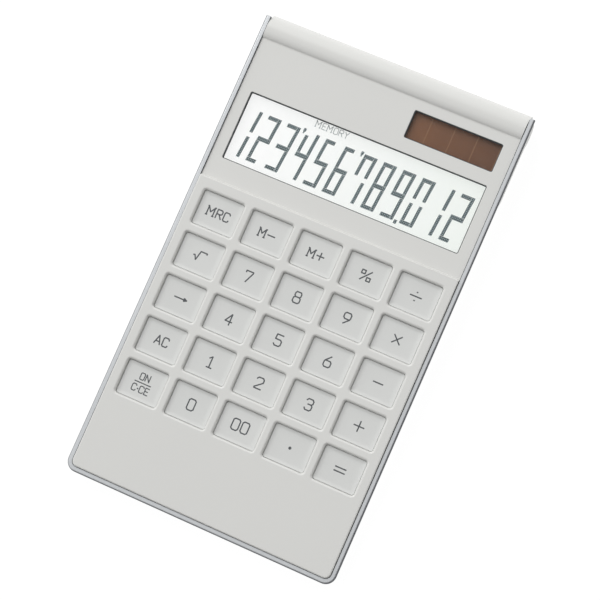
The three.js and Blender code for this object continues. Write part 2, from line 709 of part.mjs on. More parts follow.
// The height of the deck's front edge above the desk, which leaves the roll its lift.
function deckHeight() {
  return REAR_FOOT_LIFT + ROLL_R - ROLL_Y * Math.sin(TILT) - ROLL_Z * Math.cos(TILT);
}

// A place on the deck, as a point in the upright frame before the whole is centred.
function standing(y, z) {
  return [y * Math.cos(TILT) - z * Math.sin(TILT), y * Math.sin(TILT) + z * Math.cos(TILT) + deckHeight()];
}

// Pockets in the underside for the four feet, wider than the feet by a hair all round.
function footPockets() {
  const front = bothSides(FRONT_FOOT).map(([x, y]) => (
    round(x, y, FRONT_FOOT_R + FOOT_POCKET_GAP, -PAST, SLAB_BOTTOM_Z + FOOT_POCKET_DEPTH)
  ));
  const halfW = REAR_FOOT_W / 2 + FOOT_POCKET_GAP;
  const halfL = REAR_FOOT_L / 2 + FOOT_POCKET_GAP;
  const rearTop = ROLL_Z - ROLL_R + FOOT_POCKET_DEPTH;
  const rear = bothSides([REAR_FOOT_X, ROLL_Y]).map(([x, y]) => (
    block([x - halfW, x + halfW], [y - halfL, y + halfL], [-PAST, rearTop])
  ));
  return [...front, ...rear];
}

function makeFrontFoot([x, y]) {
  const [worldY, worldZ] = standing(y, SLAB_BOTTOM_Z);
  return round(x, worldY, FRONT_FOOT_R - FOOT_EDGE, 0, FOOT_EDGE, FRONT_FOOT_R)
    .add(round(x, worldY, FRONT_FOOT_R, FOOT_EDGE - JOIN, worldZ + FOOT_SINK));
}

function makeRearFoot(x) {
  const [worldY, worldZ] = standing(ROLL_Y, ROLL_Z - ROLL_R);
  const outline = roundedRect(x, worldY, REAR_FOOT_W, REAR_FOOT_L, REAR_FOOT_R);
  return raised(outline, 0, worldZ + REAR_FOOT_SINK);
}

// ---- assembly -----------------------------------------------------------------------------------

const KEY_NAMES = [
  ['key_mrc', 'key_memory_minus', 'key_memory_plus', 'key_percent', 'key_divide'],
  ['key_root', 'key_7', 'key_8', 'key_9', 'key_multiply'],
  ['key_backspace', 'key_4', 'key_5', 'key_6', 'key_minus'],
  ['key_ac', 'key_1', 'key_2', 'key_3', 'key_plus'],
  ['key_on_cce', 'key_0', 'key_00', 'key_decimal', 'key_equals'],
];

const deck = new THREE.Group();
deck.rotation.x = TILT;
deck.position.z = deckHeight();
deck.add(
  named('top_case', makeTopCase(), CASE_GREY),
  named('bottom_case', makeBottomCase(), CASE_GREY),
  named('side_frame', makeSideFrame(), FRAME_SILVER),
  named('lcd_window', lens(0, LCD_Y, LCD_W, LCD_L, LCD_R), CLEAR_LENS),
  named('lcd_glass', makeLcdGlass(), CELL_GLASS),
  named('lcd_reflector', makeLcdReflector(), REFLECTOR_WHITE),
  named('lcd_holder', makeLcdHolder(), HOLDER_WHITE),
  named('lcd_ribbon', makeLcdRibbon(), FLEX_AMBER),
  named('solar_window', lens(SOLAR_X, SOLAR_Y, SOLAR_W, SOLAR_L, SOLAR_R), CLEAR_LENS),
  named('solar_cell', makeSolarCell(), SOLAR_BROWN),
  named('solar_flex', makeSolarFlex(), FLEX_AMBER),
  named('keypad_mat', makeKeypadMat(), SILICONE_GREY),
  named('main_board', makeMainBoard(), BOARD_GREEN),
  named('chip_cover', makeChipCover(), RESIN_BLACK),
  named('capacitor', makeCapacitor(), CAN_SLEEVE),
  named('battery', makeBattery(), STEEL),
  named('battery_cover', makeBatteryCover(), CASE_GREY),
  named('battery_contact_plus', makeContactPlus(), NICKEL),
  named('battery_contact_minus', makeContactMinus(), NICKEL),
);
deck.add(...everyKey((x, y, row, column) => named(KEY_NAMES[row][column], makeKey(x, y), KEY_GREY)));
deck.add(...SCREW_PLACES.map((place, index) => named(`case_screw_${index + 1}`, makeScrew(place), STEEL)));

const calculator = new THREE.Group();
calculator.add(deck);
calculator.add(
  named('foot_front_left', makeFrontFoot([-FRONT_FOOT[0], FRONT_FOOT[1]]), RUBBER_GREY),
  named('foot_front_right', makeFrontFoot(FRONT_FOOT), RUBBER_GREY),
  named('foot_rear_left', makeRearFoot(-REAR_FOOT_X), RUBBER_GREY),
  named('foot_rear_right', makeRearFoot(REAR_FOOT_X), RUBBER_GREY),
);

// The origin is the middle of the footprint, at the height of the desk.
const assembly = new THREE.Group();
assembly.add(calculator);
assembly.updateMatrixWorld(true);
const extent = new THREE.Box3().setFromObject(assembly, true);
calculator.position.y = -(extent.min.y + extent.max.y) / 2;
assembly.updateMatrixWorld(true);

export default assembly;
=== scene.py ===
import json
import math

import bmesh
import bpy
from mathutils import Matrix, Vector


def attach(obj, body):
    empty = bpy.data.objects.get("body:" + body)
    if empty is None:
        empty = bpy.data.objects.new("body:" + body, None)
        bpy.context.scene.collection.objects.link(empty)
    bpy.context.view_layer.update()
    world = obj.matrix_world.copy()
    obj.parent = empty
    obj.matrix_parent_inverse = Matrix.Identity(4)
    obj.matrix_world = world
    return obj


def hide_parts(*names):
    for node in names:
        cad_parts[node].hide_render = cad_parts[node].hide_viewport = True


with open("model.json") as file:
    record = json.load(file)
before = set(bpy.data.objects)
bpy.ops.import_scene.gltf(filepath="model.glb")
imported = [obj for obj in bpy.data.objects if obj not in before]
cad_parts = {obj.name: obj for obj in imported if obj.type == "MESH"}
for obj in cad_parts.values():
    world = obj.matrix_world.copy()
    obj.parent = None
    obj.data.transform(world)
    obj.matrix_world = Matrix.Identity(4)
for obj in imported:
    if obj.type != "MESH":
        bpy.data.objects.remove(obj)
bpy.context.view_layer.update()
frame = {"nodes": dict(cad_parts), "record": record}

nodes = frame["nodes"]
bpy.ops.object.select_all(action="DESELECT")

# ---- The lower shell ----------------------------------------------------------------------------
# A shallow tray moulded in light grey ABS, with the lower half of the rear roll and a bulge for the
# battery bay. It is drawn out across the body and hollowed, and the screw holes, the seat of the
# round battery hatch and the pockets for the feet are cut into its floor.

# The calculator slopes up to the rear. Every piece but the feet is modelled flat on the deck, where
# x runs across from the middle, y runs back from the front edge and z = 0 is the top of the silver
# frame, and is then tilted into place. Sizes are in metres.
MM = 0.001
joints = {joint["name"]: joint for joint in frame["record"]["behaviour"]["joints"]}
CELL = Vector((-22, 155, -9.4)) * MM
TILT = math.asin(joints["key_5_press"]["axis"][1])
SLOPE = Matrix.Rotation(TILT, 4, "X")
DECK = Matrix.Translation(Vector(joints["battery_cover_turn"]["pos_m"]) - SLOPE @ CELL) @ SLOPE

BODY_HALF_WIDTH = 51.6 * MM
PANEL_HALF_WIDTH = 49.65 * MM
PANEL_FRONT = 1.95 * MM
PARTING = -3.7 * MM
PARTING_GAP = 0.1 * MM
SLAB_BOTTOM = -6.6 * MM
ROLL_Y = 170.5 * MM
ROLL_Z = -5.5 * MM
ROLL_RADIUS = 6 * MM
CREASE_Y = 166.7 * MM
FLOOR_TOP = -5.1 * MM
BAY_FRONT = 142 * MM
BAY_SLOPE = 3.5 * MM
BAY_BOTTOM = -9.4 * MM
BAY_FLOOR = -7.4 * MM
ROLL_INNER_RADIUS = 4.6 * MM
SHELL_WALL = 1.4 * MM
FRAME_TUCK = 0.9 * MM
TRAY_HALF_WIDTH = BODY_HALF_WIDTH - FRAME_TUCK
FRAME_REAR = 174.9 * MM
SIDES = (-1, 1)
SCREW_PAIRS = ((41, 21), (43, 116.5), (30, 170.5))
SCREW_PLACES = [Vector((side * x, y)) * MM for x, y in SCREW_PAIRS for side in SIDES]
SCREW_HEAD_HOLE = 2.05 * MM
SCREW_HEAD_DEPTH = 0.9 * MM
HATCH_SEAT_RADIUS = 8.75 * MM
HATCH_SEAT_TOP = -8.1 * MM
HATCH_HOLE_RADIUS = 7 * MM
HATCH_TURN = math.radians(60)
NOTCH_WIDTH = 16.9 * MM
NOTCH_LENGTH = 3.6 * MM
FRONT_FOOT = Vector((41, 9.5, -6.6)) * MM
FRONT_FOOT_RADIUS = 4.5 * MM
REAR_FOOT = Vector((42, 170.5, -11.5)) * MM
REAR_FOOT_WIDTH = 12 * MM
REAR_FOOT_LENGTH = 4.4 * MM
FOOT_ROOM = 0.2 * MM
POCKET_DEPTH = 0.7 * MM
TRAY_CORNER = 3.1 * MM
FLOOR_EDGE = 1.0 * MM
FRONT_FACE_ZONE = 4.1 * MM
TRIM_WIDTH = 10 * MM
TRIM_LENGTH = 20.2 * MM
TRIM_TOP = 5 * MM
TRIM_CORNER = 0.01 * MM
HOLE_REACH = 9 * MM
FAR_BELOW = -20 * MM
LUG_CORNER = 0.3 * MM
OVERLAP = 0.1 * MM


def choose(piece):
    """Makes one object the only selected one, and the active one."""
    if bpy.context.object and bpy.context.object.mode == "EDIT":
        bpy.ops.object.mode_set(mode="OBJECT")
    bpy.ops.object.select_all(action="DESELECT")
    piece.select_set(True)
    bpy.context.view_layer.objects.active = piece


def shape(piece):
    """Opens a piece for shaping in edit mode, with nothing selected."""
    choose(piece)
    bpy.ops.object.mode_set(mode="EDIT")
    bpy.ops.mesh.select_all(action="DESELECT")


def finish_shaping():
    bpy.ops.object.mode_set(mode="OBJECT")


def pick_edges(test):
    """In edit mode, selects the edges whose two ends pass the test."""
    bpy.ops.mesh.select_all(action="DESELECT")
    bpy.ops.mesh.select_mode(type="EDGE")
    data = bpy.context.object.data
    mesh = bmesh.from_edit_mesh(data)
    for edge in mesh.edges:
        edge.select_set(test(edge.verts[0].co, edge.verts[1].co))
    bmesh.update_edit_mesh(data)


def near(a, b):
    return abs(a - b) < 0.01 * MM


def upright(a, b):
    return near(a.x, b.x) and near(a.y, b.y)


def bevel(width, segments):
    bpy.ops.mesh.bevel(offset=width, segments=segments, affect="EDGES", clamp_overlap=False)


def slab(name, x, y, width, length, bottom, top, corner, segments=6):
    """A flat block with rounded upright corners."""
    bpy.ops.object.select_all(action="DESELECT")
    middle = (x, y, (bottom + top) / 2)
    bpy.ops.mesh.primitive_cube_add(size=1, location=middle, scale=(width, length, top - bottom))
    bpy.ops.object.transform_apply(location=True, rotation=True, scale=True)
    piece = bpy.context.object
    piece.name = name
    shape(piece)
    pick_edges(upright)
    bevel(corner, segments)
    finish_shaping()
    return piece


def walk(points):
    """In edit mode, draws a line of edges through the points, from a new vertex."""
    bpy.ops.mesh.select_all(action="DESELECT")
    bpy.ops.mesh.select_mode(type="VERT")
    bpy.ops.mesh.primitive_plane_add(size=MM, location=points[0])
    bpy.ops.mesh.merge(type="CENTER")
    for before, after in zip(points, points[1:]):
        step = Vector(after) - Vector(before)
        bpy.ops.mesh.extrude_region_move(TRANSFORM_OT_translate={"value": step})


def arc(middle_y, middle_z, radius, start, end, steps):
    """Points in the side view, from one angle in degrees to another, 0 to the rear and 90 up."""
    angles = [math.radians(start + (end - start) * i / steps) for i in range(steps + 1)]
    return [(middle_y + radius * math.cos(a), middle_z + radius * math.sin(a)) for a in angles]


def empty_piece(name):
    """A new mesh object with nothing in it, open in edit mode."""
    bpy.ops.object.select_all(action="DESELECT")
    bpy.ops.mesh.primitive_plane_add(size=MM)
    piece = bpy.context.object
    piece.name = name
    bpy.ops.object.mode_set(mode="EDIT")
    bpy.ops.mesh.delete(type="VERT")
    return piece


def across(name, outline, half_width):
    """A side outline of (y, z) points, filled and drawn out across the body."""
    piece = empty_piece(name)
    walk([(-half_width, y, z) for y, z in outline])
    bpy.ops.mesh.select_all(action="SELECT")
    bpy.ops.mesh.edge_face_add()
    bpy.ops.mesh.extrude_region_move(TRANSFORM_OT_translate={"value": (half_width * 2, 0, 0)})
    bpy.ops.mesh.select_all(action="SELECT")
    bpy.ops.mesh.normals_make_consistent(inside=False)
    finish_shaping()
    return piece


def apply_modifier(piece, kind, **settings):
    choose(piece)
    modifier = piece.modifiers.new(kind, kind)
    for name, value in settings.items():
        setattr(modifier, name, value)
    bpy.ops.object.modifier_apply(modifier=modifier.name)


def cut(piece, cutter, operation="DIFFERENCE"):
    apply_modifier(piece, "BOOLEAN", object=cutter, operation=operation, solver="EXACT")
    bpy.data.objects.remove(cutter)


def smooth(piece, degrees=35):
    """Smooths the rounded edges, and keeps the broad faces flat."""
    choose(piece)
    bpy.ops.object.shade_smooth_by_angle(angle=math.radians(degrees))
    apply_modifier(piece, "WEIGHTED_NORMAL", keep_sharp=True, weight=80)


def settle(piece, finish, body="case"):
    """Gives a piece its finish and lets it ride on its body."""
    choose(piece)
    piece.data.materials.clear()
    piece.data.materials.append(finish)
    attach(piece, body)


def lay_on_deck(piece, finish, body="case"):
    """Tilts a flat-laid piece into place on the deck and settles it there."""
    piece.data.transform(DECK)
    settle(piece, finish, body)


class Value:
    """A socket in a material. Arithmetic on it adds Math nodes."""

    def __init__(self, tree, socket):
        self.tree = tree
        self.socket = socket

    def math(self, operation, first, second):
        node = self.tree.nodes.new("ShaderNodeMath")
        node.operation = operation
        for socket, value in zip(node.inputs, (first, second)):
            if isinstance(value, Value):
                self.tree.links.new(value.socket, socket)
            else:
                socket.default_value = value
        return Value(self.tree, node.outputs[0])

    def __add__(self, other):
        return self.math("ADD", self, other)

    def __radd__(self, other):
        return self.math("ADD", other, self)

    def __sub__(self, other):
        return self.math("SUBTRACT", self, other)

    def __rsub__(self, other):
        return self.math("SUBTRACT", other, self)

    def __mul__(self, other):
        return self.math("MULTIPLY", self, other)

    def __rmul__(self, other):
        return self.math("MULTIPLY", other, self)

    def __gt__(self, other):
        return self.math("GREATER_THAN", self, other)

    def __lt__(self, other):
        return self.math("LESS_THAN", self, other)


class Finish:
    """A material in the making, with its shader and the one method that adds any other node."""

    def __init__(self, name, **constants):
        self.material = bpy.data.materials.new(name)
        self.material.use_nodes = True
        self.tree = self.material.node_tree
        self.shader = self.tree.nodes["Principled BSDF"]
        for socket, value in constants.items():
            self.shader.inputs[socket.replace("_", " ")].default_value = value
        self.place = self.node("TexCoord", {}, {}, "Object")

    def node(self, kind, settings, values, output=0):
        """Adds a node with its settings, then the values or links of its sockets."""
        made = self.tree.nodes.new("ShaderNode" + kind)
        for name, value in settings.items():
            setattr(made, name, value)
        for socket, value in values.items():
            if isinstance(value, Value):
                self.tree.links.new(value.socket, made.inputs[socket])
            else:
                made.inputs[socket].default_value = value
        return Value(self.tree, made.outputs[output])

    def feed(self, socket, value):
        self.tree.links.new(value.socket, self.shader.inputs[socket])

    def noise(self, scale, detail=2.0, stretch=(1, 1, 1)):
        """Fractal noise with that many grains to the metre, drawn out along an axis by stretch."""
        drawn = self.node("Mapping", {}, {"Vector": self.place, "Scale": stretch})
        return self.node("TexNoise", {}, {"Vector": drawn, "Scale": scale, "Detail": detail}, "Fac")

    def blend(self, amount, first, second):
        """A colour between two colours."""
        return self.node("Mix", {"data_type": "RGBA"}, {0: amount, 6: first, 7: second}, 2)

    def bump(self, height, distance, strength=1.0):
        settings = {"Height": height, "Distance": distance, "Strength": strength}
        self.feed("Normal", self.node("Bump", {}, settings, "Normal"))


def colour(code):
    """A colour from its code in ordinary screen values, as the shader's own linear ones."""
    parts = [int(code[i:i + 2], 16) / 255 for i in (0, 2, 4)]
    return (*[c / 12.92 if c <= 0.04045 else ((c + 0.055) / 1.055) ** 2.4 for c in parts], 1)


def moulded_plastic(name, code):
    """Satin ABS: a very fine spark-eroded grain, and faint broad changes in shade and gloss."""
    finish = Finish(name, IOR=1.5)
    base = colour(code)
    shade = finish.noise(18.0)
    finish.feed("Base Color", finish.blend(shade, [c * 0.965 for c in base[:3]] + [1], base))
    finish.feed("Roughness", 0.36 + 0.12 * finish.noise(60.0, 3.0))
    finish.bump(finish.noise(5200.0, 1.0), 0.012 * MM, 0.6)
    return finish.material


def drum(x, y, radius, bottom, top, sides=48):
    """An upright round bar, used as a cutter or as the start of a round piece."""
    bpy.ops.object.select_all(action="DESELECT")
    middle = (x, y, (bottom + top) / 2)
    height = top - bottom
    bpy.ops.mesh.primitive_cylinder_add(
        vertices=sides, radius=radius, depth=height, location=middle)
    bpy.ops.object.transform_apply(location=True, rotation=True, scale=True)
    return bpy.context.object


def floor_bottom_at(y):
    return ROLL_Z - ROLL_RADIUS if y > CREASE_Y else SLAB_BOTTOM


case_plastic = moulded_plastic("satin_case_plastic", "dbdbd8")

roll_start = math.degrees(math.asin((PARTING - PARTING_GAP - ROLL_Z) / ROLL_RADIUS))
bay_meets = 180 + math.degrees(math.asin((ROLL_Z - BAY_BOTTOM) / ROLL_RADIUS))
lower_shell = across("lower_shell", [
    (FRAME_TUCK, PARTING - PARTING_GAP),
    (FRAME_TUCK, SLAB_BOTTOM),
    (BAY_FRONT, SLAB_BOTTOM),
    (BAY_FRONT + BAY_SLOPE, BAY_BOTTOM),
    *arc(ROLL_Y, ROLL_Z, ROLL_RADIUS, bay_meets, 360 + roll_start, 22),
], TRAY_HALF_WIDTH)
shape(lower_shell)
pick_edges(lambda a, b: upright(a, b) and near(a.y, FRAME_TUCK))
bevel(TRAY_CORNER, 6)
pick_edges(lambda a, b: near(a.z, SLAB_BOTTOM) and near(b.z, SLAB_BOTTOM) and (
    (near(abs(a.x), TRAY_HALF_WIDTH) and near(a.x, b.x)) or max(a.y, b.y) < FRONT_FACE_ZONE))
bevel(FLOOR_EDGE, 3)
finish_shaping()

bay_floor_meets = 180 + math.degrees(math.asin((ROLL_Z - BAY_FLOOR) / ROLL_INNER_RADIUS))
inside = PANEL_FRONT + SHELL_WALL
cut(lower_shell, across("tray_hollow", [
    (inside, PARTING + MM),
    (inside, FLOOR_TOP),
    (BAY_FRONT, FLOOR_TOP),
    (BAY_FRONT + BAY_SLOPE, BAY_FLOOR),
    *arc(ROLL_Y, ROLL_Z, ROLL_INNER_RADIUS, bay_floor_meets, 360, 12),
    (ROLL_Y + ROLL_INNER_RADIUS, PARTING + MM),
], PANEL_HALF_WIDTH - SHELL_WALL))
for side in SIDES:
    x = side * (PANEL_HALF_WIDTH + TRIM_WIDTH / 2)
    y = FRAME_REAR + TRIM_LENGTH / 2 - OVERLAP
    cut(lower_shell, slab(
        "side_trim", x, y, TRIM_WIDTH, TRIM_LENGTH, FAR_BELOW, TRIM_TOP, TRIM_CORNER, 1))
    x, y, bottom = FRONT_FOOT
    pocket_radius = FRONT_FOOT_RADIUS + FOOT_ROOM
    cut(lower_shell, drum(side * x, y, pocket_radius, FAR_BELOW, bottom + POCKET_DEPTH))
    x, y, bottom = REAR_FOOT
    width = REAR_FOOT_WIDTH + 2 * FOOT_ROOM
    length = REAR_FOOT_LENGTH + 2 * FOOT_ROOM
    cut(lower_shell, slab(
        "pocket", side * x, y, width, length, FAR_BELOW, bottom + POCKET_DEPTH, MM))
for place in SCREW_PLACES:
    depth = floor_bottom_at(place.y) + SCREW_HEAD_DEPTH
    cut(lower_shell, drum(place.x, place.y, SCREW_HEAD_HOLE, depth - HOLE_REACH, depth, 24))
cut(lower_shell, drum(CELL.x, CELL.y, HATCH_SEAT_RADIUS, BAY_BOTTOM - MM, HATCH_SEAT_TOP))
cut(lower_shell, drum(CELL.x, CELL.y, HATCH_HOLE_RADIUS, BAY_BOTTOM - MM, BAY_FLOOR + MM))
notches = slab(
    "notches", 0, 0, NOTCH_WIDTH, NOTCH_LENGTH, HATCH_SEAT_TOP - OVERLAP, BAY_FLOOR + MM, LUG_CORNER)
over_cell = Matrix.Translation((CELL.x, CELL.y, 0))
notches.data.transform(over_cell @ Matrix.Rotation(HATCH_TURN, 4, "Z"))
cut(lower_shell, notches)
smooth(lower_shell)
lay_on_deck(lower_shell, case_plastic)
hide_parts("bottom_case")

# ---- Feet, screws and the battery hatch ---------------------------------------------------------
# Four dark rubber feet stand upright in pockets in the floor, six zinc-plated screws with cross
# recesses draw the shells together, and a coin turns the round hatch under the button cell.

FOOT_SINK = {"front": 0.35 * MM, "rear": 0.55 * MM}
REAR_FOOT_CORNER = 0.8 * MM
FOOT_EDGE = 0.4 * MM
HEAD_RADIUS = 1.9 * MM
HEAD_BOTTOM = 0.1 * MM
HEAD_TOP = 0.8 * MM
SHANK_RADIUS = 0.95 * MM
SCREW_LENGTH = 3.7 * MM
HEAD_EDGE = 0.3 * MM
RECESS_LENGTH = 2.3 * MM
RECESS_WIDTH = 0.6 * MM
RECESS_TOP = 0.55 * MM
RECESS_CORNER = 0.1 * MM
HATCH_RADIUS = 8.6 * MM
HATCH_THICKNESS = 1.15 * MM
HATCH_EDGE = 0.3 * MM
HATCH_NECK_RADIUS = 6.85 * MM
CELL_SEAT_RADIUS = 5.95 * MM
CELL_SEAT_BOTTOM = -8.15 * MM
LUG_BOTTOM = -7.25 * MM
LUG_TOP = -6.65 * MM
LUG_SPAN = 16 * MM
LUG_LENGTH = 3 * MM
COIN_SLOT_LENGTH = 11 * MM
COIN_SLOT_WIDTH = 1.4 * MM
COIN_SLOT_CORNER = 0.6 * MM
COIN_SLOT_DEPTH = 0.6 * MM


def ease_rim(piece, level, width):
    """Rounds off the edges that lie at one level."""
    shape(piece)
    pick_edges(lambda a, b: near(a.z, level) and near(b.z, level))
    bevel(width, 3)
    finish_shaping()


def repaint(name, finish):
    """Gives a carried-over piece its finish."""
    for material_slot in nodes[name].material_slots:
        material_slot.material = finish


def foot_rubber():
    """Matt rubber, with dust in its fine grain."""
    finish = Finish("dusty_foot_rubber", IOR=1.45)
    dust = finish.noise(900.0, 4.0)
    finish.feed("Base Color", finish.blend(dust, colour("2e2f32"), colour("47484b")))
    finish.feed("Roughness", 0.72 + 0.2 * dust)
    finish.bump(finish.noise(3000.0, 2.0), 0.02 * MM)
    return finish.material


def plated_steel(name, code, rough):
    """Plated steel with fine drawn lines and a slight tarnish."""
    finish = Finish(name, Metallic=1.0)
    lines = finish.noise(400.0, 3.0, (1, 14, 14))
    base = colour(code)
    finish.feed("Base Color", finish.blend(lines, [c * 0.8 for c in base[:3]] + [1], base))
    finish.feed("Roughness", rough + 0.15 * finish.noise(1500.0, 3.0))
    finish.bump(lines, 0.004 * MM)
    return finish.material


rubber = foot_rubber()
screw_steel = plated_steel("zinc_plated_screw", "a8abae", 0.3)
can_steel = plated_steel("nickel_plated_can", "b9bcbe", 0.2)
for side, side_name in zip(SIDES, ("left", "right")):
    mirrored = Vector((side, 1, 1))
    stand = DECK @ (FRONT_FOOT * mirrored)
    front_foot = drum(stand.x, stand.y, FRONT_FOOT_RADIUS, 0, stand.z + FOOT_SINK["front"])
    stand = DECK @ (REAR_FOOT * mirrored)
    top = stand.z + FOOT_SINK["rear"]
    rear_foot = slab(
        "foot", stand.x, stand.y, REAR_FOOT_WIDTH, REAR_FOOT_LENGTH, 0, top, REAR_FOOT_CORNER)
    for foot, end_name in ((front_foot, "front"), (rear_foot, "rear")):
        foot.name = f"rubber_foot_{end_name}_{side_name}"
        ease_rim(foot, 0, FOOT_EDGE)
        smooth(foot)
        settle(foot, rubber)
        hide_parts(f"foot_{end_name}_{side_name}")

for number, place in enumerate(SCREW_PLACES, 1):
    level = floor_bottom_at(place.y)
    screw = drum(place.x, place.y, HEAD_RADIUS, level + HEAD_BOTTOM, level + HEAD_TOP, 32)
    screw.name = f"screw_{number}"
    ease_rim(screw, level + HEAD_BOTTOM, HEAD_EDGE)
    for width, length in ((RECESS_LENGTH, RECESS_WIDTH), (RECESS_WIDTH, RECESS_LENGTH)):
        cut(screw, slab("recess", place.x, place.y, width, length, level - MM,
                        level + RECESS_TOP, RECESS_CORNER, 2))
    shank_bottom = level + HEAD_TOP - OVERLAP
    shank = drum(place.x, place.y, SHANK_RADIUS, shank_bottom, level + SCREW_LENGTH, 16)
    cut(screw, shank, "UNION")
    smooth(screw)
    lay_on_deck(screw, screw_steel)
    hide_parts(f"case_screw_{number}")

hatch = drum(CELL.x, CELL.y, HATCH_RADIUS, BAY_BOTTOM, BAY_BOTTOM + HATCH_THICKNESS, 96)
hatch.name = "coin_hatch"
ease_rim(hatch, BAY_BOTTOM, HATCH_EDGE)
neck_bottom = BAY_BOTTOM + HATCH_THICKNESS - OVERLAP
cut(hatch, drum(CELL.x, CELL.y, HATCH_NECK_RADIUS, neck_bottom, LUG_TOP), "UNION")
lugs = slab("lugs", CELL.x, CELL.y, LUG_SPAN, LUG_LENGTH, LUG_BOTTOM, LUG_TOP, LUG_CORNER)
cut(hatch, lugs, "UNION")
cut(hatch, drum(CELL.x, CELL.y, CELL_SEAT_RADIUS, CELL_SEAT_BOTTOM, 0))
slot_top = BAY_BOTTOM + COIN_SLOT_DEPTH
cut(hatch, slab("slot", CELL.x, CELL.y, COIN_SLOT_LENGTH, COIN_SLOT_WIDTH, BAY_BOTTOM - MM,
                slot_top, COIN_SLOT_CORNER))
smooth(hatch)
lay_on_deck(hatch, case_plastic, "battery_cover")
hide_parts("battery_cover")
repaint("battery", can_steel)
repaint("battery_contact_plus", can_steel)
repaint("battery_contact_minus", can_steel)

# ---- The board and its leads --------------------------------------------------------------------
# Green laminate that carries the processor under a black resin drop, a small sleeved capacitor and
# the amber film leads to the display and the solar cell. A silicone sheet of domes lies on it.


def laminate():
    """Green solder mask over a faint weave, with darker copper runs beneath it."""
    finish = Finish("green_laminate", Roughness=0.42)
    runs = finish.noise(220.0, 0.0, (1, 0.2, 1)) > 0.52
    finish.feed("Base Color", finish.blend(runs, colour("2f6a45"), colour("26593a")))
    finish.bump(runs + 0.3 * finish.noise(4000.0), 0.01 * MM)
    return finish.material


def coloured_film(name, code, rough):
    """A moulded or rolled film with a little unevenness in colour and gloss."""
    finish = Finish(name, IOR=1.5)
    base = colour(code)
    cloud = finish.noise(300.0, 3.0)
    finish.feed("Base Color", finish.blend(cloud, [c * 0.85 for c in base[:3]] + [1], base))
    finish.feed("Roughness", rough + 0.1 * cloud)
    finish.bump(finish.noise(1600.0, 2.0), 0.01 * MM)
    return finish.material


repaint("main_board", laminate())
repaint("chip_cover", coloured_film("black_resin", "1a1a1c", 0.25))
repaint("capacitor", coloured_film("capacitor_sleeve", "24304a", 0.35))
repaint("keypad_mat", coloured_film("grey_silicone", "a5a9aa", 0.6))
amber = coloured_film("amber_film", "b57a2c", 0.3)
repaint("lcd_ribbon", amber)
repaint("solar_flex", amber)
repaint("lcd_holder", coloured_film("holder_plastic", "e2e2dc", 0.5))

# ---- The display --------------------------------------------------------------------------------
# A white reflector film that glows as painted light, the liquid crystal cell with twelve slanted
# digits, and a clear acrylic window over it, held in a dark gasket that paints the shade of the
# opening's walls, as is the window of the solar cell. Each digit is made of bars, and each bar is a
# fine dark mesh with light openings.

CRYSTAL_MIDDLE = -3.16 * MM
INK_THICKNESS = 0.02 * MM
DIGIT_WIDTH = 5.0 * MM
DIGIT_HEIGHT = 18.0 * MM
DIGIT_PITCH = 7.44 * MM
DIGIT_BASE = 124.3 * MM
LAST_DIGIT_RIGHT = 41.5 * MM
BAR = 1.3 * MM
CROSSBAR = 1.5 * MM
HALF_GAP = 0.85 * MM
BAR_GAP = 0.08 * MM
SLANT = math.radians(5)
MESH_PITCH = 0.62 * MM
MESH_WIRE = 0.15 * MM
READING = "123456789012"
LIT_BARS = {
    "0": "abcdef", "1": "bc", "2": "abged", "3": "abgcd", "4": "fbgc", "5": "afgcd",
    "6": "afgedc", "7": "fabc", "8": "abcdefg", "9": "abfgcd",
}
HALF = DIGIT_HEIGHT / 2
BARS = {
    "a": (0, DIGIT_WIDTH - BAR, DIGIT_HEIGHT - CROSSBAR, DIGIT_HEIGHT),
    "b": (DIGIT_WIDTH - BAR, DIGIT_WIDTH, HALF + HALF_GAP, DIGIT_HEIGHT),
    "c": (DIGIT_WIDTH - BAR, DIGIT_WIDTH, 0, HALF - HALF_GAP),
    "d": (0, DIGIT_WIDTH - BAR, 0, CROSSBAR),
    "e": (0, BAR, CROSSBAR, HALF - HALF_GAP),
    "f": (0, BAR, HALF + HALF_GAP, DIGIT_HEIGHT - CROSSBAR),
    "g": (0, DIGIT_WIDTH, HALF - HALF_GAP, HALF + HALF_GAP),
}
# The bars of a mark, placed from the top left corner of its digit, and the point, placed from the
# right foot of its digit: the left, right, bottom and top of each, in millimetres.
MARKED_DIGITS = (3, 6)
MARK = ((-1.5, -0.4, -0.7, 0.6), (-1.3, -0.7, -1.4, -0.6))
POINTED_DIGIT = 8
POINT = (0.5, 1.7, -0.8, 0.7)
# Each opening in the panel: its window's node, the place of its middle, its width and its length.
WINDOWS = {
    "display_window": ("lcd_window", 0.0, 134.6 * MM, 90.7 * MM, 25.8 * MM),
    "solar_cover": ("solar_window", 28.15 * MM, 157.75 * MM, 33.5 * MM, 10.5 * MM),
}
OPENING_CORNER = 0.6 * MM
WINDOW_GAP = 0.3 * MM
WINDOW_TOP = -0.75 * MM
WINDOW_EDGE = 0.12 * MM
FLANGE = 1.3 * MM
FLANGE_TOP = -2.2 * MM
FLANGE_BOTTOM = -2.5 * MM
GASKET_ROOM = 0.02 * MM
GASKET_TOP = -0.85 * MM
SLANTING = Matrix(((1, math.tan(SLANT), 0, 0), (0, 1, 0, 0), (0, 0, 1, 0), (0, 0, 0, 1)))


def clear_acrylic():
    """Clear acrylic: almost nothing but its gloss shows, with the finest haze of wiping marks."""
    finish = Finish("clear_acrylic", IOR=1.49, Base_Color=colour("f4f8f8"))
    marks = finish.noise(500.0, 4.0, (1, 6, 1))
    finish.feed("Roughness", 0.03 + 0.05 * marks)
    finish.feed("Alpha", 0.012 + 0.012 * marks)
    return finish.material


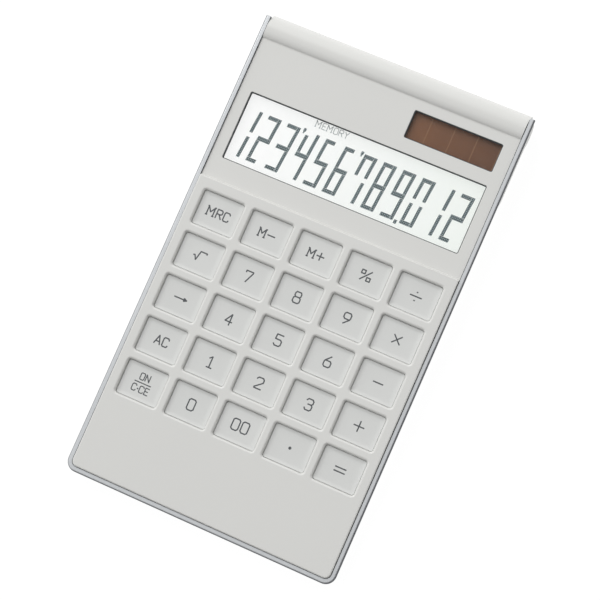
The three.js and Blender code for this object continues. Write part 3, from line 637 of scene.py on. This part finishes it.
def reflector_film():
    """White film as painted light: it glows so no shade falls on it, a little darker and greener to
    the right.
    """
    finish = Finish("white_reflector", Roughness=0.7, Emission_Strength=0.9)
    x = finish.node("SeparateXYZ", {}, {"Vector": finish.place}, "X")
    side = 0.5 + x * (1 / (BODY_HALF_WIDTH * 2))
    white = finish.blend(side, colour("fdfdfd"), colour("eef3ee"))
    # Painted light: the lit colour is cut to a tenth, and the film glows with the white instead.
    finish.feed("Base Color", finish.blend(0.9, white, colour("000000")))
    finish.feed("Emission Color", white)
    finish.bump(finish.noise(2500.0), 0.004 * MM)
    return finish.material


def crystal_ink():
    """The lit bars: a dark blue-green mesh, with rows of light openings."""
    finish = Finish("display_bars", Roughness=0.5)
    across_mesh = finish.node("SeparateXYZ", {}, {"Vector": finish.place}, "X")
    along_mesh = finish.node("SeparateXYZ", {}, {"Vector": finish.place}, "Y")
    column = finish.node("Math", {"operation": "PINGPONG"}, {0: across_mesh, 1: MESH_PITCH / 2})
    row = finish.node("Math", {"operation": "PINGPONG"}, {0: along_mesh, 1: MESH_PITCH / 2})
    opening = (column > MESH_WIRE) * (row > MESH_WIRE)
    finish.feed("Base Color", finish.blend(opening * 0.75, colour("0c2328"), colour("b9cfd2")))
    return finish.material


def bar_block(x0, x1, y0, y1):
    """In edit mode, adds one thin upright-sided bar."""
    middle = ((x0 + x1) / 2, (y0 + y1) / 2, CRYSTAL_MIDDLE)
    size = (x1 - x0 - BAR_GAP, y1 - y0 - BAR_GAP, INK_THICKNESS)
    bpy.ops.mesh.primitive_cube_add(size=1, location=middle, scale=size)


def pick_faces(test):
    """In edit mode, selects the faces whose centre and normal pass the test."""
    bpy.ops.mesh.select_all(action="DESELECT")
    bpy.ops.mesh.select_mode(type="FACE")
    data = bpy.context.object.data
    mesh = bmesh.from_edit_mesh(data)
    for face in mesh.faces:
        face.select_set(test(face.calc_center_median(), face.normal))
    bmesh.update_edit_mesh(data)


acrylic = clear_acrylic()
bar_ink = crystal_ink()
repaint("lcd_reflector", reflector_film())
repaint("lcd_glass", acrylic)

digits = empty_piece("display_digits")
for count, figure in enumerate(READING):
    left = LAST_DIGIT_RIGHT - DIGIT_WIDTH - DIGIT_PITCH * (len(READING) - 1 - count)
    for bar in LIT_BARS[figure]:
        x0, x1, y0, y1 = BARS[bar]
        bar_block(left + x0, left + x1, y0, y1)
    if count in MARKED_DIGITS:
        for stroke in MARK:
            x0, x1, y0, y1 = [place * MM for place in stroke]
            bar_block(left + x0, left + x1, DIGIT_HEIGHT + y0, DIGIT_HEIGHT + y1)
    if count == POINTED_DIGIT:
        x0, x1, y0, y1 = [place * MM for place in POINT]
        point = left + DIGIT_WIDTH
        bar_block(point + x0, point + x1, y0, y1)
finish_shaping()
digits.data.transform(Matrix.Translation((0, DIGIT_BASE, 0)) @ SLANTING)
lay_on_deck(digits, bar_ink)

# Painted shade: the gaskets are dark grey to stand in for the shaded walls of the openings.
gasket_painted_shade = coloured_film("gasket_painted_shade", "4a4e50", 0.8)
for name, (node, x, y, width, length) in WINDOWS.items():
    wide = width - 2 * WINDOW_GAP
    long = length - 2 * WINDOW_GAP
    window = slab(name, x, y, wide, long, FLANGE_TOP, WINDOW_TOP, OPENING_CORNER - WINDOW_GAP)
    shape(window)
    pick_edges(lambda a, b: near(a.z, WINDOW_TOP) and near(b.z, WINDOW_TOP))
    bevel(WINDOW_EDGE, 2)
    pick_faces(lambda middle, normal: normal.z < -0.9)
    bpy.ops.mesh.extrude_region_move(TRANSFORM_OT_translate={"value": (0, 0, 0)})
    growth = ((width + 2 * FLANGE) / wide, (length + 2 * FLANGE) / long, 1)
    bpy.ops.transform.resize(value=growth, center_override=(x, y, FLANGE_TOP))
    down = FLANGE_BOTTOM - FLANGE_TOP
    bpy.ops.mesh.extrude_region_move(TRANSFORM_OT_translate={"value": (0, 0, down)})
    finish_shaping()
    smooth(window)
    lay_on_deck(window, acrylic)
    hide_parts(node)
    gasket = slab(name.split("_")[0] + "_gasket", x, y, width - 2 * GASKET_ROOM,
                  length - 2 * GASKET_ROOM, FLANGE_TOP + GASKET_ROOM, GASKET_TOP, OPENING_CORNER)
    cut(gasket, slab("lens_room", x, y, wide + 2 * GASKET_ROOM, long + 2 * GASKET_ROOM,
                     FLANGE_TOP - MM, 0, OPENING_CORNER - WINDOW_GAP / 2))
    lay_on_deck(gasket, gasket_painted_shade)

# ---- The solar cell -----------------------------------------------------------------------------
# A thin plate with four brown strips of amorphous silicon, parted by scribed lines that are a little
# paler. It lies flat under the second window, and a film lead joins it to the board.

STRIP_WIDTH = 8.65 * MM
STRIPS_MIDDLE = 26.9 * MM
STRIP_LINE = 0.17 * MM
FILM_LEFT = 12 * MM
FILM_WIDTH = 33 * MM


def amorphous_silicon():
    """Brown film, redder and darker to the right, with pale scribed lines between its strips."""
    finish = Finish("brown_solar_film", Roughness=0.3, IOR=1.35)
    x = finish.node("SeparateXYZ", {}, {"Vector": finish.place}, "X")
    offset = x - (STRIPS_MIDDLE + STRIP_WIDTH * 10)
    distance = finish.node("Math", {"operation": "PINGPONG"}, {0: offset, 1: STRIP_WIDTH / 2})
    line = distance < STRIP_LINE
    side = (x - FILM_LEFT) * (1 / FILM_WIDTH)
    cloud = finish.noise(90.0, 2.0)
    film = finish.blend(side * 0.8 + cloud * 0.3, colour("7b4f2e"), colour("5f3a20"))
    finish.feed("Base Color", finish.blend(line * 0.6, film, colour("8f6a4a")))
    finish.bump(line, 0.01 * MM)
    return finish.material


repaint("solar_cell", amorphous_silicon())

# ---- The keys -----------------------------------------------------------------------------------
# Twenty-five light grey caps, each a little dished, with a wider skirt that keeps it under the
# panel. One cap is modelled and copied. Its symbol is pad printed in dark grey, drawn as pen
# strokes, and rides with it. The same pen draws the memory sign of the display.

KEY_NAMES = [
    ["key_mrc", "key_memory_minus", "key_memory_plus", "key_percent", "key_divide"],
    ["key_root", "key_7", "key_8", "key_9", "key_multiply"],
    ["key_backspace", "key_4", "key_5", "key_6", "key_minus"],
    ["key_ac", "key_1", "key_2", "key_3", "key_plus"],
    ["key_on_cce", "key_0", "key_00", "key_decimal", "key_equals"],
]
COLUMN_PITCH = 19 * MM
ROW_PITCH = 16.25 * MM
FIRST_ROW_Y = 102.65 * MM
CAP_WIDTH = 15.5 * MM
CAP_LENGTH = 12.6 * MM
CAP_CORNER = 0.8 * MM
CAP_TOP = -0.4 * MM
SKIRT_TOP = -1.15 * MM
SKIRT_BOTTOM = -1.75 * MM
SKIRT_WIDTH = 16.9 * MM
SKIRT_LENGTH = 14 * MM
CAP_EDGE = 0.15 * MM
# The rings of the dish from the rim inwards: what is kept of the width, and the way down.
DISH_STEPS = [
    (0.97, 0.03 * MM), (0.96, 0.05 * MM), (0.95, 0.05 * MM), (0.94, 0.04 * MM), (0.92, 0.02 * MM),
]
DISH_DEPTH = sum(depth for _, depth in DISH_STEPS)
PRINT_WIDTH = 0.48 * MM
PRINT_HEIGHT = 0.03 * MM

# The pen strokes of each character, in a cell one unit high from its lower left corner.
TALL = 0.64
CUT = 0.13
TURN = TALL - CUT
LOOP = [
    (CUT, 0), (TURN, 0), (TALL, CUT), (TALL, 1 - CUT), (TURN, 1), (CUT, 1), (0, 1 - CUT), (0, CUT),
    (CUT, 0),
]
SIX = [
    (0.5, 1), (0.05, 0.56), (0, 0.42), (0, CUT), (CUT, 0), (TURN, 0), (TALL, CUT), (TALL, 0.43),
    (TURN, 0.56), (0.05, 0.56),
]
STROKES = {
    "0": [LOOP],
    "1": [[(0.1, 0.8), (0.34, 1), (0.34, 0)], [(0.1, 0), (0.58, 0)]],
    "2": [[(0, 0.82), (0, 1 - CUT), (CUT, 1), (TURN, 1), (TALL, 1 - CUT), (TALL, 0.62), (0, 0.1),
           (0, 0), (TALL, 0)]],
    "3": [[(0, 0.84), (CUT, 1), (TURN, 1), (TALL, 1 - CUT), (TALL, 0.64), (TURN, 0.53), (0.2, 0.53)],
          [(TURN, 0.53), (TALL, 0.42), (TALL, CUT), (TURN, 0), (CUT, 0), (0, 0.16)]],
    "4": [[(0.45, 0), (0.45, 1), (0, 0.3), (TALL, 0.3)]],
    "5": [[(TALL, 1), (0.05, 1), (0.03, 0.57), (TURN, 0.57), (TALL, 0.45), (TALL, CUT), (TURN, 0),
           (CUT, 0), (0, 0.14)]],
    "6": [SIX],
    "7": [[(0, 0.84), (0, 1), (TALL, 1), (TALL, 0.9), (0.24, 0)]],
    "8": [[(CUT, 0), (TURN, 0), (TALL, CUT), (TALL, 0.42), (TURN, 0.54), (CUT, 0.54), (0, 0.42),
           (0, CUT), (CUT, 0)],
          [(CUT, 0.54), (0.04, 0.64), (0.04, 1 - CUT), (CUT, 1), (TURN, 1), (TALL - 0.04, 1 - CUT),
           (TALL - 0.04, 0.64), (TURN, 0.54)]],
    "9": [[(TALL - x, 1 - y) for x, y in SIX]],
    "M": [[(-0.1, 1), (0, 1), (0.38, 0.4), (0.76, 1), (0.86, 1)], [(0, 1), (0, 0)],
          [(0.76, 1), (0.76, 0)], [(-0.1, 0), (0.1, 0)], [(0.66, 0), (0.86, 0)]],
    "R": [[(0, 0), (0, 1), (0.5, 1), (0.62, 0.88), (0.62, 0.62), (0.5, 0.5), (0, 0.5)],
          [(0.3, 0.5), (0.64, 0)]],
    "C": [[(0.62, 0.8), (0.62, 0.88), (0.5, 1), (0.12, 1), (0, 0.88), (0, 0.12), (0.12, 0), (0.5, 0),
           (0.62, 0.12), (0.62, 0.2)]],
    "A": [[(0, 0), (0.34, 1), (0.68, 0)], [(0.11, 0.32), (0.57, 0.32)]],
    "O": [[(0.12, 0), (0.52, 0), (0.64, 0.12), (0.64, 0.88), (0.52, 1), (0.12, 1), (0, 0.88),
           (0, 0.12), (0.12, 0)]],
    "N": [[(0, 0), (0, 1), (0.62, 0), (0.62, 1)]],
    "E": [[(0.58, 1), (0, 1), (0, 0), (0.58, 0)], [(0, 0.5), (0.48, 0.5)]],
    "Y": [[(0, 1), (0.32, 0.5), (0.64, 1)], [(0.32, 0.5), (0.32, 0)]],
    ".": [[(0, 0.45), (0.05, 0.5), (0.1, 0.45), (0.05, 0.4), (0, 0.45)]],
    "-": [[(0, 0.5), (0.9, 0.5)]],
    "+": [[(0, 0.5), (0.9, 0.5)], [(0.45, 0.05), (0.45, 0.95)]],
    "x": [[(0, 0.12), (0.76, 0.88)], [(0, 0.88), (0.76, 0.12)]],
    "/": [[(0, 0.5), (1.0, 0.5)], [(0.46, 0.86), (0.54, 0.86)], [(0.46, 0.14), (0.54, 0.14)]],
    "=": [[(0, 0.68), (1.0, 0.68)], [(0, 0.32), (1.0, 0.32)]],
    "%": [[(0.1, 0), (1.0, 1)], [(0.05, 0.62), (0.05, 0.95), (0.4, 0.95), (0.4, 0.62), (0.05, 0.62)],
          [(0.7, 0.05), (0.7, 0.38), (1.05, 0.38), (1.05, 0.05), (0.7, 0.05)]],
    "v": [[(0, 0.45), (0.14, 0.5), (0.38, 0.04), (0.62, 1), (1.3, 1), (1.3, 0.88)]],
    ">": [[(0, 0.5), (1.3, 0.5)], [(1.0, 0.64), (1.28, 0.5), (1.0, 0.36), (1.0, 0.64)],
          [(1.04, 0.56), (1.16, 0.5), (1.04, 0.44)]],
}
SPACE = 0.24
PEN_OVERLAP = 0.25
PEN_SHARE = {"key_decimal": 1.6, "key_on_cce": 0.8}
DIVIDER_HALF = 3.1 * MM
MEMORY_HEIGHT = 2.3 * MM
MEMORY_MIDDLE = (-13.4 * MM, 145.9 * MM)
MEMORY_PEN = 0.22 * MM
# What is printed on each key: lines of text, each with its height and its place above the middle,
# in millimetres.
PRINTS = {
    "key_mrc": [("MRC", 3.2, 0)],
    "key_memory_minus": [("M-", 3.0, 0)],
    "key_memory_plus": [("M+", 3.0, 0)],
    "key_percent": [("%", 3.8, 0)],
    "key_divide": [("/", 4.2, 0)],
    "key_root": [("v", 3.5, 0)],
    "key_multiply": [("x", 3.8, 0)],
    "key_backspace": [(">", 3.7, 0)],
    "key_minus": [("-", 4.0, 0)],
    "key_ac": [("AC", 3.2, 0)],
    "key_plus": [("+", 4.2, 0)],
    "key_00": [("00", 4.0, 0)],
    "key_decimal": [(".", 4.0, 0.2)],
    "key_equals": [("=", 4.0, 0)],
    "key_on_cce": [("ON", 2.4, 2.2), ("C.CE", 2.4, -2.2)],
    **{f"key_{figure}": [(figure, 4.0, 0)] for figure in "0123456789"},
}


def key_middle(row, column):
    return (column - 2) * COLUMN_PITCH, FIRST_ROW_Y - row * ROW_PITCH


def key_plastic():
    """The caps' own moulding: smoother than the case, with a soft sheen and worn-in gloss."""
    finish = Finish("satin_key_plastic", IOR=1.5)
    cloud = finish.noise(70.0, 3.0)
    finish.feed("Base Color", finish.blend(cloud, colour("d2d3d1"), colour("d9dad8")))
    finish.feed("Roughness", 0.34 + 0.12 * finish.noise(140.0, 3.0))
    finish.bump(finish.noise(4200.0, 1.0), 0.01 * MM, 0.5)
    return finish.material


def printing_ink():
    """Dark grey pad-printed ink with slightly uneven cover."""
    finish = Finish("printing_ink", Roughness=0.5)
    cover = finish.noise(2400.0, 3.0)
    finish.feed("Base Color", finish.blend(cover, colour("44474a"), colour("55585b")))
    return finish.material


def text_strokes(text, height, middle_x, middle_y):
    """The strokes of a line of text, centred, as lists of places on the deck."""
    placed = []
    left = 0
    for character in text:
        strokes = STROKES[character]
        placed += [[(left + x, y) for x, y in stroke] for stroke in strokes]
        left += max(x for stroke in strokes for x, _ in stroke) + SPACE
    width = left - SPACE
    return [
        [(middle_x + (x - width / 2) * height, middle_y + (y - 0.5) * height, 0) for x, y in stroke]
        for stroke in placed
    ]


def pen_drawing(name, strokes, pen, surface):
    """Strokes of one pen width, as a thin layer of ink on a surface."""
    drawing = empty_piece(name)
    for stroke in strokes:
        for start, end in zip(stroke, stroke[1:]):
            start, end = Vector(start), Vector(end)
            overlap = (end - start).normalized() * pen * PEN_OVERLAP
            walk([start - overlap, end + overlap])
    finish_shaping()
    choose(drawing)
    bpy.ops.object.convert(target="CURVE")
    drawing = bpy.context.object
    drawing.data.bevel_depth = pen / 2
    drawing.data.bevel_resolution = 2
    drawing.data.use_fill_caps = True
    bpy.ops.object.convert(target="MESH")
    drawing = bpy.context.object
    flat = Matrix.Diagonal((1, 1, PRINT_HEIGHT / pen, 1))
    drawing.data.transform(Matrix.Translation((0, 0, surface)) @ flat)
    return drawing


cap_plastic = key_plastic()
ink = printing_ink()

cap = slab("cap", 0, 0, CAP_WIDTH, CAP_LENGTH, SKIRT_TOP, CAP_TOP, CAP_CORNER)
shape(cap)
pick_edges(lambda a, b: near(a.z, CAP_TOP) and near(b.z, CAP_TOP))
bevel(CAP_EDGE, 4)
pick_faces(lambda middle, normal: normal.z > 0.99 and near(middle.z, CAP_TOP))
for share, depth in DISH_STEPS:
    bpy.ops.mesh.extrude_region_move(TRANSFORM_OT_translate={"value": (0, 0, -depth)})
    bpy.ops.transform.resize(value=(share, share, 1), center_override=(0, 0, CAP_TOP))
pick_faces(lambda middle, normal: normal.z < -0.9)
bpy.ops.mesh.extrude_region_move(TRANSFORM_OT_translate={"value": (0, 0, 0)})
growth = (SKIRT_WIDTH / CAP_WIDTH, SKIRT_LENGTH / CAP_LENGTH, 1)
bpy.ops.transform.resize(value=growth, center_override=(0, 0, SKIRT_TOP))
down = SKIRT_BOTTOM - SKIRT_TOP
bpy.ops.mesh.extrude_region_move(TRANSFORM_OT_translate={"value": (0, 0, down)})
finish_shaping()
smooth(cap, 40)

for row, names in enumerate(KEY_NAMES):
    for column, name in enumerate(names):
        x, y = key_middle(row, column)
        key = cap.copy()
        key.data = cap.data.copy()
        key.name = name.replace("key_", "cap_")
        bpy.context.collection.objects.link(key)
        key.data.transform(Matrix.Translation((x, y, 0)))
        lay_on_deck(key, cap_plastic, name)
        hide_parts(name)
        strokes = []
        for text, height, lift in PRINTS[name]:
            strokes += text_strokes(text, height * MM, x, y + lift * MM)
        if name == "key_on_cce":
            strokes.append([(x - DIVIDER_HALF, y, 0), (x + DIVIDER_HALF, y, 0)])
        print_name = name.replace("key_", "print_")
        pen = PRINT_WIDTH * PEN_SHARE.get(name, 1)
        label = pen_drawing(print_name, strokes, pen, CAP_TOP - DISH_DEPTH)
        lay_on_deck(label, ink, name)
bpy.data.objects.remove(cap)

letters = text_strokes("MEMORY", MEMORY_HEIGHT, *MEMORY_MIDDLE)
memory_sign = pen_drawing("memory_sign", letters, MEMORY_PEN, CRYSTAL_MIDDLE)
lay_on_deck(memory_sign, coloured_film("faint_display_ink", "8f9a9c", 0.5))

# ---- The upper shell ----------------------------------------------------------------------------
# One light grey moulding: the raised key panel with its wells, a small step down to the display
# panel, a crease, and the upper half of the roll. It is drawn out across the body, its edges are
# eased, it is hollowed from below, and the wells and the two openings are cut through it.

KEY_PANEL_TOP = 0.8 * MM
DISPLAY_PANEL_TOP = -0.6 * MM
STEP_Y = 113.5 * MM
STEP_RUN = 0.3 * MM
STEP_EASE = 0.45 * MM
STEP_FOOT_RUN = 0.2 * MM
STEP_FOOT_RISE = 0.15 * MM
CREASE_RISE = 1.1 * MM
CREASE_RUN = 3.8 * MM
FILLET_RUN = 0.5 * MM
FILLET_RISES = (0.1 * MM, 0.02 * MM)
UPPER_CORNER = 2.1 * MM
PANEL_EDGE = 0.55 * MM
PANEL_THICKNESS = 1.6 * MM
DISPLAY_THICKNESS = 1.5 * MM
HOLLOW_BOTTOM = -8 * MM
REAR_OPEN = 3.8 * MM
WELL_WIDTH = 15.7 * MM
WELL_LENGTH = 12.8 * MM
WELL_CORNER = 0.9 * MM
WELL_EASE = 0.95 * MM
WELL_BOTTOM = -3 * MM
OPENING_EASE = 0.12 * MM
OPENING_BOTTOM = -4 * MM
EASE_STEPS = 6


def eased_cutter(name, x, y, width, length, corner, top, ease, bottom):
    """A cutter for an opening: straight walls that round out into the panel at the mouth."""
    cutter = slab(name, x, y, width + 2 * ease, length + 2 * ease, top, top + MM, corner + ease)
    shape(cutter)
    pick_faces(lambda middle, normal: normal.z < -0.9)
    for step in range(EASE_STEPS):
        before = math.radians(90 * step / EASE_STEPS)
        after = math.radians(90 * (step + 1) / EASE_STEPS)
        inward = ease * (math.sin(after) - math.sin(before))
        down = ease * (math.cos(before) - math.cos(after))
        bpy.ops.mesh.inset(thickness=inward, depth=down)
    down = bottom - top + ease
    bpy.ops.mesh.extrude_region_move(TRANSFORM_OT_translate={"value": (0, 0, down)})
    finish_shaping()
    return cutter


roll_end = math.degrees(math.asin((PARTING + PARTING_GAP - ROLL_Z) / ROLL_RADIUS))
crease = [
    (CREASE_Y + CREASE_RUN * t, DISPLAY_PANEL_TOP + CREASE_RISE * (1 - (1 - t) ** 3))
    for t in (0.9, 0.8, 0.7, 0.6, 0.5, 0.4, 0.3, 0.2, 0.12)
]
crease += [
    (CREASE_Y + FILLET_RUN * 0.5, DISPLAY_PANEL_TOP + FILLET_RISES[0]),
    (CREASE_Y, DISPLAY_PANEL_TOP + FILLET_RISES[1]),
    (CREASE_Y - FILLET_RUN, DISPLAY_PANEL_TOP),
]
upper_shell = across("upper_shell", [
    (PANEL_FRONT, PARTING + PARTING_GAP),
    *arc(ROLL_Y, ROLL_Z, ROLL_RADIUS, roll_end, 90, 20),
    *crease,
    (STEP_Y + STEP_RUN / 2 + STEP_FOOT_RUN, DISPLAY_PANEL_TOP),
    (STEP_Y + STEP_RUN / 2, DISPLAY_PANEL_TOP + STEP_FOOT_RISE),
    *arc(STEP_Y - STEP_RUN / 2 - STEP_EASE, KEY_PANEL_TOP - STEP_EASE, STEP_EASE, 0, 90, 5),
    (PANEL_FRONT, KEY_PANEL_TOP),
], PANEL_HALF_WIDTH)
shape(upper_shell)
pick_edges(lambda a, b: upright(a, b) and near(a.y, PANEL_FRONT))
bevel(UPPER_CORNER, 6)
pick_edges(lambda a, b: near(a.z, KEY_PANEL_TOP) and near(b.z, KEY_PANEL_TOP) and (
    (near(abs(a.x), PANEL_HALF_WIDTH) and near(a.x, b.x)) or max(a.y, b.y) < FRONT_FACE_ZONE))
bevel(PANEL_EDGE, 4)
finish_shaping()

display_under = DISPLAY_PANEL_TOP - DISPLAY_THICKNESS
key_under = KEY_PANEL_TOP - PANEL_THICKNESS
cut(upper_shell, across("shell_hollow", [
    (inside, HOLLOW_BOTTOM),
    (ROLL_Y + REAR_OPEN, HOLLOW_BOTTOM),
    *arc(ROLL_Y, ROLL_Z, ROLL_INNER_RADIUS, 0, 90, 10),
    (CREASE_Y, display_under),
    (STEP_Y - STEP_RUN / 2, display_under),
    (STEP_Y - STEP_RUN / 2 - SHELL_WALL, key_under),
    (inside, key_under),
], PANEL_HALF_WIDTH - SHELL_WALL))

x, y = key_middle(4, 0)
wells = eased_cutter(
    "wells", x, y, WELL_WIDTH, WELL_LENGTH, WELL_CORNER, KEY_PANEL_TOP, WELL_EASE, WELL_BOTTOM)
for offset in ((COLUMN_PITCH, 0, 0), (0, ROW_PITCH, 0)):
    apply_modifier(wells, "ARRAY", count=5, use_relative_offset=False, use_constant_offset=True,
                   constant_offset_displace=offset)
cut(upper_shell, wells)
for _, x, y, width, length in WINDOWS.values():
    cut(upper_shell, eased_cutter("opening", x, y, width, length, OPENING_CORNER,
                                  DISPLAY_PANEL_TOP, OPENING_EASE, OPENING_BOTTOM))
smooth(upper_shell)
lay_on_deck(upper_shell, case_plastic)
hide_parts("top_case")

# ---- The side frame -----------------------------------------------------------------------------
# A band of satin silver round the left, front and right sides. It is a flat block, tucked in at its
# foot and crowned along its top edge, cored out for the shells with a fine groove beside the panel,
# and cut off square at the rear.

FRAME_WALL = 1.8 * MM
FRAME_DEPTH = 3.6 * MM
FRAME_CORNER = 4 * MM
CROWN = 0.75 * MM
TUCK_START = 1.1 * MM
GROOVE = 0.12 * MM
GROOVE_BOTTOM = -0.7 * MM
SPARE = 10 * MM
FAR_ABOVE = 20 * MM


def satin_silver():
    """Silver lacquer with the finest lengthwise grain, and painted dark reflection and shade on its
    sides.
    """
    finish = Finish("satin_silver", Metallic=0.75)
    grain = finish.noise(700.0, 3.0, (1, 0.03, 1))
    lacquer = finish.blend(grain, colour("c2c5c8"), colour("d0d2d4"))
    # Painted reflection and shade: faces that turn away from the top of the deck are darkened to
    # dark grey.
    facing = finish.node("NewGeometry", {}, {}, "Normal")
    across_deck = {0: facing, 1: DECK.col[2][:3]}
    level = finish.node("VectorMath", {"operation": "DOT_PRODUCT"}, across_deck, "Value")
    side_painted_dark = finish.node("MapRange", {}, {"Value": level, "From Min": 0.92, "From Max": 0.7})
    finish.feed("Base Color", finish.blend(side_painted_dark, lacquer, colour("5c5f63")))
    finish.feed("Roughness", 0.3 + 0.1 * grain)
    finish.bump(grain, 0.003 * MM)
    return finish.material


length = FRAME_REAR + SPARE
side_frame = slab(
    "silver_frame", 0, length / 2, 2 * BODY_HALF_WIDTH, length, -TUCK_START, 0, FRAME_CORNER, 10)
shape(side_frame)
pick_faces(lambda middle, normal: normal.z < -0.9)
tuck = (1 - FRAME_TUCK / BODY_HALF_WIDTH, 1 - 2 * FRAME_TUCK / length, 1)
down = TUCK_START - FRAME_DEPTH
bpy.ops.mesh.extrude_region_move(TRANSFORM_OT_translate={"value": (0, 0, down)})
bpy.ops.transform.resize(value=tuck, center_override=(0, length / 2, -FRAME_DEPTH))
pick_edges(lambda a, b: near(a.z, 0) and near(b.z, 0))
bevel(CROWN, 8)
finish_shaping()
for inset, bottom in ((FRAME_WALL, FAR_BELOW), (FRAME_WALL - GROOVE, GROOVE_BOTTOM)):
    width = 2 * (BODY_HALF_WIDTH - inset)
    cut(side_frame, slab("core", 0, inset + length / 2, width, length, bottom, FAR_ABOVE,
                         FRAME_CORNER - inset))
width = 2 * (BODY_HALF_WIDTH + SPARE)
cut(side_frame, slab(
    "rear_cut", 0, FRAME_REAR + SPARE, width, 2 * SPARE, FAR_BELOW, FAR_ABOVE, MM, 1))
smooth(side_frame, 40)
lay_on_deck(side_frame, satin_silver())
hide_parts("side_frame")

# ---- Table, light and camera --------------------------------------------------------------------
# The calculator lies on a plain white table. A broad soft lamp stands behind its left side and
# throws soft shade into the key wells. Pale walls all round, dimmer at the right, fill the rest.

TABLE_SIZE = 6
TABLE_SINK = 0.02 * MM
WALL_STRENGTH = 0.92
TOWARDS_DIM_WALL = (0.85, -0.7, -0.15)
WHITE_WALL = (0.02, (1, 1, 1, 1))
DIM_WALL = (0.25, (0.25, 0.25, 0.25, 1))
LAMP_PLACE = DECK @ Vector((-1.4, 1.5, 1.6))
LAMP_AIM = DECK @ Vector((0, 0.09, 0))
LAMP_SIZE = 1.5
LAMP_POWER = 27.0
LOOK_AT = DECK @ Vector((1.54 * MM, 85.88 * MM, KEY_PANEL_TOP))
TO_CAMERA = (SLOPE @ Vector((0.2069, -0.0774, 0.9753))).normalized()
CAMERA_DISTANCE = 0.7476
CAMERA_TURN = math.radians(23.85)
LENS_LENGTH = 129.6
FILM_SIZE = 36
NEAREST = 0.01

bpy.ops.object.select_all(action="DESELECT")
bpy.ops.mesh.primitive_plane_add(size=TABLE_SIZE, location=(0, 0, -TABLE_SINK))
table = bpy.context.object
table.name = "table_top"
table_finish = Finish("plain_white_table", Roughness=0.8, Emission_Strength=0.95)
pale = table_finish.blend(table_finish.noise(4.0), colour("fbfbfb"), colour("ffffff"))
table_finish.feed("Base Color", table_finish.blend(0.9, pale, colour("000000")))
table_finish.feed("Emission Color", pale)
table.data.materials.append(table_finish.material)

scene = bpy.context.scene
scene.view_settings.view_transform = "Standard"
world = bpy.data.worlds.new("studio")
scene.world = world
world.use_nodes = True
background = world.node_tree.nodes["Background"]
background.inputs["Strength"].default_value = WALL_STRENGTH
direction = world.node_tree.nodes.new("ShaderNodeTexCoord")
dimmer = world.node_tree.nodes.new("ShaderNodeVectorMath")
dimmer.operation = "DOT_PRODUCT"
dimmer.inputs[1].default_value = TOWARDS_DIM_WALL
walls = world.node_tree.nodes.new("ShaderNodeValToRGB")
walls.color_ramp.interpolation = "EASE"
for stop, (position, grey) in zip(walls.color_ramp.elements, (WHITE_WALL, DIM_WALL)):
    stop.position = position
    stop.color = grey
world.node_tree.links.new(direction.outputs["Generated"], dimmer.inputs[0])
world.node_tree.links.new(dimmer.outputs["Value"], walls.inputs["Fac"])
world.node_tree.links.new(walls.outputs["Color"], background.inputs["Color"])

bpy.ops.object.light_add(type="AREA", location=LAMP_PLACE)
lamp = bpy.context.object
lamp.name = "soft_lamp"
lamp.data.shape = "SQUARE"
lamp.data.size = LAMP_SIZE
lamp.data.energy = LAMP_POWER
lamp.rotation_euler = (LAMP_AIM - LAMP_PLACE).to_track_quat("-Z", "Y").to_euler()

rearward = SLOPE @ Vector((0, 1, 0))
up = (rearward - TO_CAMERA * rearward.dot(TO_CAMERA)).normalized()
right = up.cross(TO_CAMERA)
facing = Matrix((right, up, TO_CAMERA)).transposed() @ Matrix.Rotation(CAMERA_TURN, 3, "Z")
bpy.ops.object.camera_add(location=LOOK_AT + TO_CAMERA * CAMERA_DISTANCE)
camera = bpy.context.object
camera.rotation_euler = facing.to_euler()
camera.data.lens = LENS_LENGTH
camera.data.sensor_width = FILM_SIZE
camera.data.clip_start = NEAREST
scene.camera = camera
